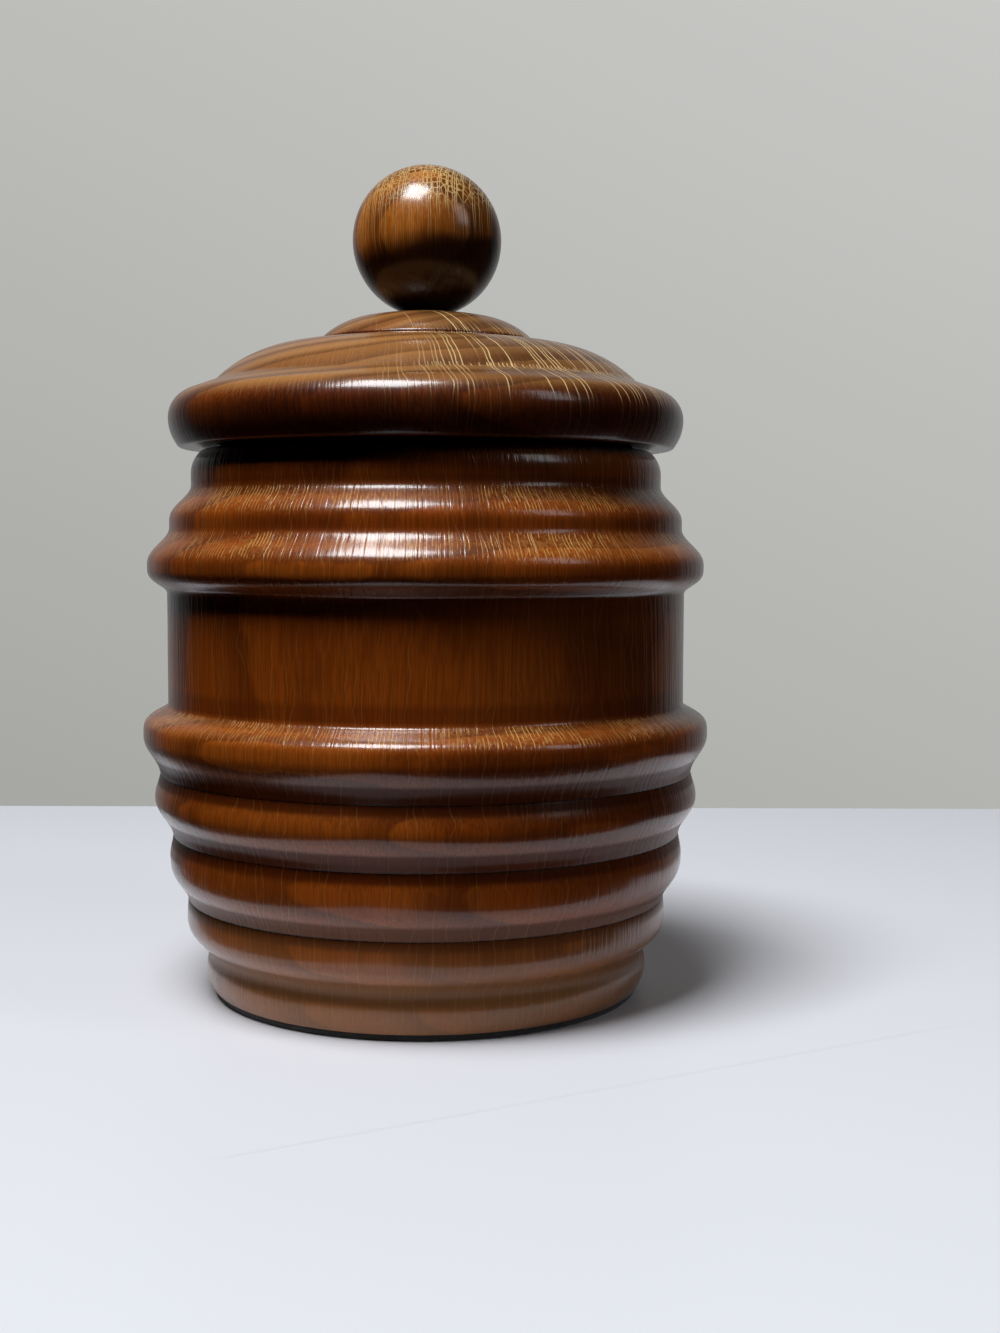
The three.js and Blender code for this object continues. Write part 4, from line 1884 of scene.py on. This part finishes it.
@dataclass
class Humidifier:
    """Perforated brass pan with a clay pad, screwed under the lid."""

    lid: Lid
    pan_wall: float = 0.8
    pan_depth: float = 6.0
    flange_width: float = 7.2
    pan_corner: float = 1.4
    pan_pitch: float = 0.3
    pad_thickness: float = 16.0
    pad_clearance: float = 0.6
    pad_edge_round: float = 0.8
    hole_radius: float = 1.6
    hole_spacing: float = 5.5
    hole_margin: float = 4.0
    holes_in_first_ring: int = 6
    hole_sides: int = 20
    screw_count: int = 3
    screw_radius: float = 1.2
    screw_length: float = 8.0
    screw_clearance: float = 0.3
    head_radius: float = 2.4
    head_height: float = 1.6
    slot_width: float = 0.7
    slot_depth: float = 0.8
    screw_edge_round: float = 0.12
    screw_pitch: float = 0.25
    sides: int = 120
    screw_sides: int = 40

    BEND_STEPS = 6

    @property
    def outer_radius(self) -> float:
        """Radius of the pan's outside."""
        return self.lid.recess_radius + self.pan_wall

    @property
    def flange_radius(self) -> float:
        """Radius of the pan's flange."""
        return self.outer_radius + self.flange_width

    @property
    def underside(self) -> float:
        """Height of the pan's underside."""
        return self.lid.spigot_foot - self.pan_depth - self.pan_wall

    @property
    def flange_foot(self) -> float:
        """Height of the flange's underside."""
        return self.lid.spigot_foot - self.pan_wall

    def screw_places(self) -> Iterator[Point]:
        """Finds the places of the screws, evenly round the flange.

        Yields:
            Each place.
        """
        reach = (self.outer_radius + self.flange_radius) / 2
        for number in range(self.screw_count):
            turn = 2 * math.pi * number / self.screw_count
            yield reach * math.cos(turn), reach * math.sin(turn)

    def hole_places(self) -> Iterator[Point]:
        """Finds the places of the perforations, in rings about the middle.

        Yields:
            Each place.
        """
        yield 0.0, 0.0
        reach = self.lid.recess_radius - self.hole_margin - self.hole_radius
        for ring in range(1, int(reach / self.hole_spacing) + 1):
            count = self.holes_in_first_ring * ring
            for number in range(count):
                turn = 2 * math.pi * number / count
                away = self.hole_spacing * ring
                yield away * math.cos(turn), away * math.sin(turn)

    def pierced(self, shape: Shape, height: float, rims: list[float], holes: list[Point],
                hole_radius: float) -> None:
        """Fills a level disc or ring of sheet, leaving round holes.

        Args:
            shape: The shape that the sheet is added to.
            height: Height of the sheet.
            rims: Radius of each edge about the axis.
            holes: Places of the holes.
            hole_radius: Radius of the holes.
        """
        edges = []
        for radius in rims:
            edges += self.circle(shape, 0.0, 0.0, height, radius, self.sides)
        for x, y in holes:
            edges += self.circle(shape, x, y, height, hole_radius, self.hole_sides)
        bmesh.ops.triangle_fill(shape, use_beauty=True, edges=edges)

    @staticmethod
    def circle(shape: Shape, x: float, y: float, height: float, radius: float,
               sides: int) -> list[bmesh.types.BMEdge]:
        """Adds a level circle of edges.

        Args:
            shape: The shape that it is added to.
            x: Place of its middle to the right.
            y: Place of its middle to the back.
            height: Its height.
            radius: Its radius.
            sides: Number of its edges.

        Returns:
            Its edges.
        """
        at = Matrix.Translation((x * MM, y * MM, height * MM))
        made = bmesh.ops.create_circle(shape, cap_ends=False, segments=sides, radius=radius * MM, matrix=at)
        return list({edge for vert in made["verts"] for edge in vert.link_edges})

    def pan_side(self) -> Outline:
        """Draws the side of the pan, from the bend at its floor to the bend at its flange.

        Returns:
            The outline of the sheet's outside.
        """
        side = Outline(self.outer_radius - self.pan_corner, self.underside, self.pan_pitch)
        side.roll(self.pan_corner, UNDERSIDE, UPRIGHT)
        side.line(self.outer_radius, self.flange_foot - self.pan_corner)
        radius, height = side.end
        for step in range(1, self.BEND_STEPS + 1):
            angle = math.radians(UPRIGHT * step / self.BEND_STEPS)
            side.points.append((
                radius + self.pan_corner * (1 - math.cos(angle)),
                height + self.pan_corner * math.sin(angle),
            ))
        return side

    def make_pan(self) -> None:
        """Builds and dresses the pan, as pressed and pierced sheet."""
        shape = bmesh.new()
        floor_radius = self.outer_radius - self.pan_corner
        bend_radius = self.outer_radius + self.pan_corner
        self.pierced(shape, self.underside, [floor_radius], list(self.hole_places()), self.hole_radius)
        self.pierced(shape, self.flange_foot, [bend_radius, self.flange_radius], list(self.screw_places()),
                     self.screw_radius + self.screw_clearance)
        spin(shape, self.pan_side(), self.sides, SEAM_DISTANCE)
        bmesh.ops.solidify(shape, geom=shape.faces, thickness=-self.pan_wall * MM)
        bmesh.ops.recalc_face_normals(shape, faces=shape.faces)
        pan = placed("brass_pan", shape, SMOOTH_ANGLE)
        dress(pan, BrassFinish().material())
        mount(pan, "humidifier_cap", Rider.LID, Slot.BRASS)

    def make_pad(self) -> None:
        """Builds and dresses the clay pad."""
        radius = self.lid.recess_radius - self.pad_clearance
        foot = self.lid.spigot_foot - self.pan_depth
        top = foot + self.pad_thickness
        cut = Outline(0.0, foot).line(radius, foot).line(radius, top).line(0.0, top)
        pad = Turned("clay_pad", cut, self.sides, edge_round=self.pad_edge_round).build()
        dress(pad, ClayFinish().material())
        mount(pad, "humidifier_pad", Rider.LID, Slot.CLAY)

    def screw_outline(self) -> Outline:
        """Draws the half section of a screw, on its own axis.

        Returns:
            The outline.
        """
        cut = Outline(0.0, self.flange_foot - self.head_height, self.screw_pitch)
        count = cut.steps(self.head_radius)
        for step in range(1, count + 1):
            angle = math.pi / 2 * (1 - step / count)
            cut.points.append((self.head_radius * math.cos(angle),
                               self.flange_foot - self.head_height * math.sin(angle)))
        cut.line(self.screw_radius, self.flange_foot)
        cut.line(self.screw_radius, self.flange_foot + self.screw_length - self.screw_radius)
        return cut.line(0.0, self.flange_foot + self.screw_length)

    def make_screw(self, number: int, place: Point, finish: Material) -> None:
        """Builds and dresses one slotted screw.

        Args:
            number: Its number.
            place: Where it stands.
            finish: Its finish.
        """
        screw = Turned(f"brass_screw_{number}", self.screw_outline(), self.screw_sides,
                       edge_round=self.screw_edge_round).build()
        shape = bmesh.new()
        shape.from_mesh(screw.data)
        self.cut_slot(shape)
        bmesh.ops.translate(shape, verts=shape.verts, vec=(place[0] * MM, place[1] * MM, 0))
        shape.to_mesh(screw.data)
        shape.free()
        screw.data.set_sharp_from_angle(angle=math.radians(SMOOTH_ANGLE))
        dress(screw, finish)
        mount(screw, f"humidifier_screw_{number}", Rider.LID, Slot.BRASS)

    def cut_slot(self, shape: Shape) -> None:
        """Sinks the slot into the head of a screw that stands on its own axis.

        Args:
            shape: The screw's shape.
        """
        half, floor = self.slot_width / 2 * MM, (self.flange_foot - self.head_height + self.slot_depth) * MM
        for at, across in (((0, half, 0), (0, 1, 0)), ((0, -half, 0), (0, 1, 0)), ((0, 0, floor), (0, 0, 1))):
            bmesh.ops.bisect_plane(shape, geom=shape.verts[:] + shape.edges[:] + shape.faces[:],
                                   dist=MERGE_DISTANCE, plane_co=at, plane_no=across)
        in_slot = [face for face in shape.faces
                   if abs(face.calc_center_median().y) < half and face.calc_center_median().z < floor]
        sunk = bmesh.ops.extrude_face_region(shape, geom=in_slot)["geom"]
        bmesh.ops.delete(shape, geom=in_slot, context="FACES")
        for vert in (item for item in sunk if isinstance(item, bmesh.types.BMVert)):
            vert.co.z = floor
        bmesh.ops.remove_doubles(shape, verts=shape.verts, dist=MERGE_DISTANCE)
        bmesh.ops.recalc_face_normals(shape, faces=shape.faces)

    def make(self) -> None:
        """Builds and dresses the pan, the pad and the screws."""
        self.make_pan()
        self.make_pad()
        finish = BrassFinish(name="screw_brass", ringed=False).material()
        for number, place in enumerate(self.screw_places(), start=1):
            self.make_screw(number, place, finish)


@dataclass
class Studio:
    """Pale floor and surroundings, a soft lamp overhead, a dim window, and the camera of the photograph.

    Attributes:
        eye: Place of the camera in millimetres.
        pitch: How far it looks down, in degrees.
        roll: How far it leans to the left, in degrees.
        focal_length: Its focal length in pixels of the photograph.
        image_height: Height of the photograph in pixels.
        nearest_seen: Distance from the camera at which it starts to see.
        floor_box: Left, right, front and back edge of the floor.
        near_corner: Corner of the part of it that throws light back up.
        near_turn: Direction in degrees of that part's front edge.
        near_size: Width and depth of that part.
        near_rise: How far it lies above the rest, to be seen first.
        floor_colour: Colour of the floor.
        floor_roughness: How matt the floor is.
        floor_gloss: How much it reflects.
        wall_colour: Colour of the wall behind, straight ahead.
        wall_rise: How much lighter the wall is higher up.
        wall_run: How much lighter it is to the right.
        sheen_level: How bright that wall is in reflections.
        sheen_spread: Least and most share of straight ahead over which it brightens.
        lamp_heading: Direction of the overhead lamp from its aim.
        lamp_distance: Its distance from there.
        lamp_aim: Height on the axis that it points at.
        lamp_size: Width of its square face.
        lamp_power: Its power in watts.
        lamp_colour: Colour of its light.
        window_heading: Direction of a dim window from the same aim.
        window_width: Its width.
        window_height: Its height.
        window_power: Its power in watts.
    """

    eye: Triple = (17.5, -417.8, 107.3)
    pitch: float = 4.128
    roll: float = 0.179
    focal_length: float = 1745.0
    image_height: float = 1333.0
    nearest_seen: float = 10.0
    floor_box: tuple[float, float, float, float] = (-420.0, 420.0, -250.0, 280.0)
    near_corner: Point = (-32.0, -122.0)
    near_turn: float = 29.6
    near_size: float = 290.0
    near_rise: float = 0.02
    floor_colour: Colour = (0.775, 0.775, 0.81, 1)
    floor_roughness: float = 0.45
    floor_gloss: float = 0.25
    wall_colour: Triple = (0.460, 0.465, 0.445)
    wall_rise: float = 0.29
    wall_run: float = 0.125
    sheen_level: float = 0.30
    sheen_spread: Point = (0.5, 1.0)
    lamp_heading: Triple = (-0.206, -0.302, 0.930)
    lamp_distance: float = 1500.0
    lamp_aim: float = 130.0
    lamp_size: float = 640.0
    lamp_power: float = 29.6
    lamp_colour: Triple = (0.94, 0.97, 1.0)
    window_heading: Triple = (0.741, -0.392, 0.545)
    window_width: float = 370.0
    window_height: float = 680.0
    window_power: float = 2.0

    def make(self) -> None:
        """Makes the camera, the floor, the surroundings and the lamps."""
        self.make_camera()
        self.make_floor()
        self.make_surroundings()
        self.make_lamps()
        bpy.context.scene.view_settings.view_transform = "Standard"

    def make_camera(self) -> None:
        """Places the camera as the photograph's was."""
        data = bpy.data.cameras.new("camera")
        data.sensor_fit = "AUTO"
        data.lens = self.focal_length / self.image_height * data.sensor_width
        data.clip_start = self.nearest_seen * MM
        camera = bpy.data.objects.new("camera", data)
        look = Euler((math.radians(UPRIGHT - self.pitch), 0, 0)).to_matrix()
        lean = Matrix.Rotation(math.radians(self.roll), 3, "Z")
        camera.matrix_world = Matrix.Translation(Vector(self.eye) * MM) @ (look @ lean).to_4x4()
        bpy.context.scene.collection.objects.link(camera)
        bpy.context.scene.camera = camera

    def make_floor(self) -> None:
        """Lays the floor that the camera sees, and on it a smaller part that throws light back up."""
        material = Shading("pale_floor").finish(
            Base_Color=self.floor_colour, Roughness=self.floor_roughness, Specular_IOR_Level=self.floor_gloss)
        left, right, front, back = self.floor_box
        floor = self.level_sheet("floor", right - left, back - front, material)
        middle = Vector(((left + right) / 2, (front + back) / 2, -self.near_rise))
        floor.data.transform(Matrix.Translation(middle * MM))
        floor.visible_diffuse = False
        floor.visible_glossy = False
        near = self.level_sheet("floor_near", self.near_size, self.near_size, material)
        near.data.transform(Matrix.Translation(Vector((1, 1, 0)) * self.near_size * MM / 2))
        near.data.transform(Matrix.Rotation(math.radians(self.near_turn), 4, "Z"))
        near.data.transform(Matrix.Translation(Vector((*self.near_corner, 0)) * MM))

    def level_sheet(self, name: str, width: float, depth: float, material: Material) -> Piece:
        """Lays one level rectangle about the origin.

        Args:
            name: Its name.
            width: Its width.
            depth: Its depth.
            material: Its finish.

        Returns:
            The rectangle.
        """
        shape = bmesh.new()
        bmesh.ops.create_grid(shape, x_segments=1, y_segments=1, size=0.5)
        bmesh.ops.scale(shape, verts=shape.verts, vec=(width * MM, depth * MM, 1))
        sheet = placed(name, shape, UPRIGHT)
        dress(sheet, material)
        sheet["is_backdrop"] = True
        return sheet

    def make_surroundings(self) -> None:
        """Lights the room: a pale wall that the camera sees, which is dim in reflections."""
        world = bpy.data.worlds.new("room")
        world.use_nodes = True
        bpy.context.scene.world = world
        s = Shading.of_tree(world.node_tree)
        run, ahead, rise = s.split(s.add("ShaderNodeTexCoord", {}).outputs["Generated"])
        shade = s.plus(s.times(run, self.wall_run), s.times(rise, self.wall_rise))
        seen = s.vector("ADD", self.wall_colour, s.grey(shade))
        sheen = s.ease(ahead, *self.sheen_spread, 0.0, self.sheen_level)
        camera = s.add("ShaderNodeLightPath", {}).outputs["Is Camera Ray"]
        colour = s.blend(camera, s.grey(sheen), seen)
        background = s.add("ShaderNodeBackground", {"Color": colour})
        s.add("ShaderNodeOutputWorld", {"Surface": background.outputs[0]})

    def make_lamps(self) -> None:
        """Hangs the overhead lamp and the dim window."""
        self.hang("overhead_lamp", self.lamp_heading, self.lamp_size, self.lamp_size, self.lamp_power)
        self.hang("dim_window", self.window_heading, self.window_width, self.window_height, self.window_power)

    def hang(self, name: str, heading: Triple, width: float, height: float,
             power: float) -> None:
        """Hangs one lamp with a plain rectangular face.

        Args:
            name: Its name.
            heading: Its direction from its aim.
            width: Width of its face.
            height: Height of its face.
            power: Its power in watts.
        """
        data = bpy.data.lights.new(name, "AREA")
        data.shape = "RECTANGLE"
        data.size, data.size_y = width * MM, height * MM
        data.energy = power
        data.color = self.lamp_colour
        lamp = bpy.data.objects.new(name, data)
        away = Vector(heading).normalized()
        lamp.location = (Vector((0, 0, self.lamp_aim)) + away * self.lamp_distance) * MM
        lamp.rotation_euler = (-away).to_track_quat("-Z", "Y").to_euler()
        bpy.context.scene.collection.objects.link(lamp)


def write_sizes() -> None:
    """Works out the box of the frame and the box of the finished model as plain lists."""
    boxes = {"cad": CAD_BOX, "visual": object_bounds()}
    plain = {name: [list(map(float, corner)) for corner in box] for name, box in boxes.items()}


def main() -> None:
    """Builds the jar from its foot to its humidifier."""
    logging.basicConfig(level=logging.INFO, format="%(name)s: %(message)s")
    Studio().make()
    body = JarBody()
    liner = Liner(body)
    lid = Lid(liner)
    for assembly in (body, liner, lid, Humidifier(lid)):
        assembly.make()
    write_sizes()


if __name__ == "__main__":
    main()
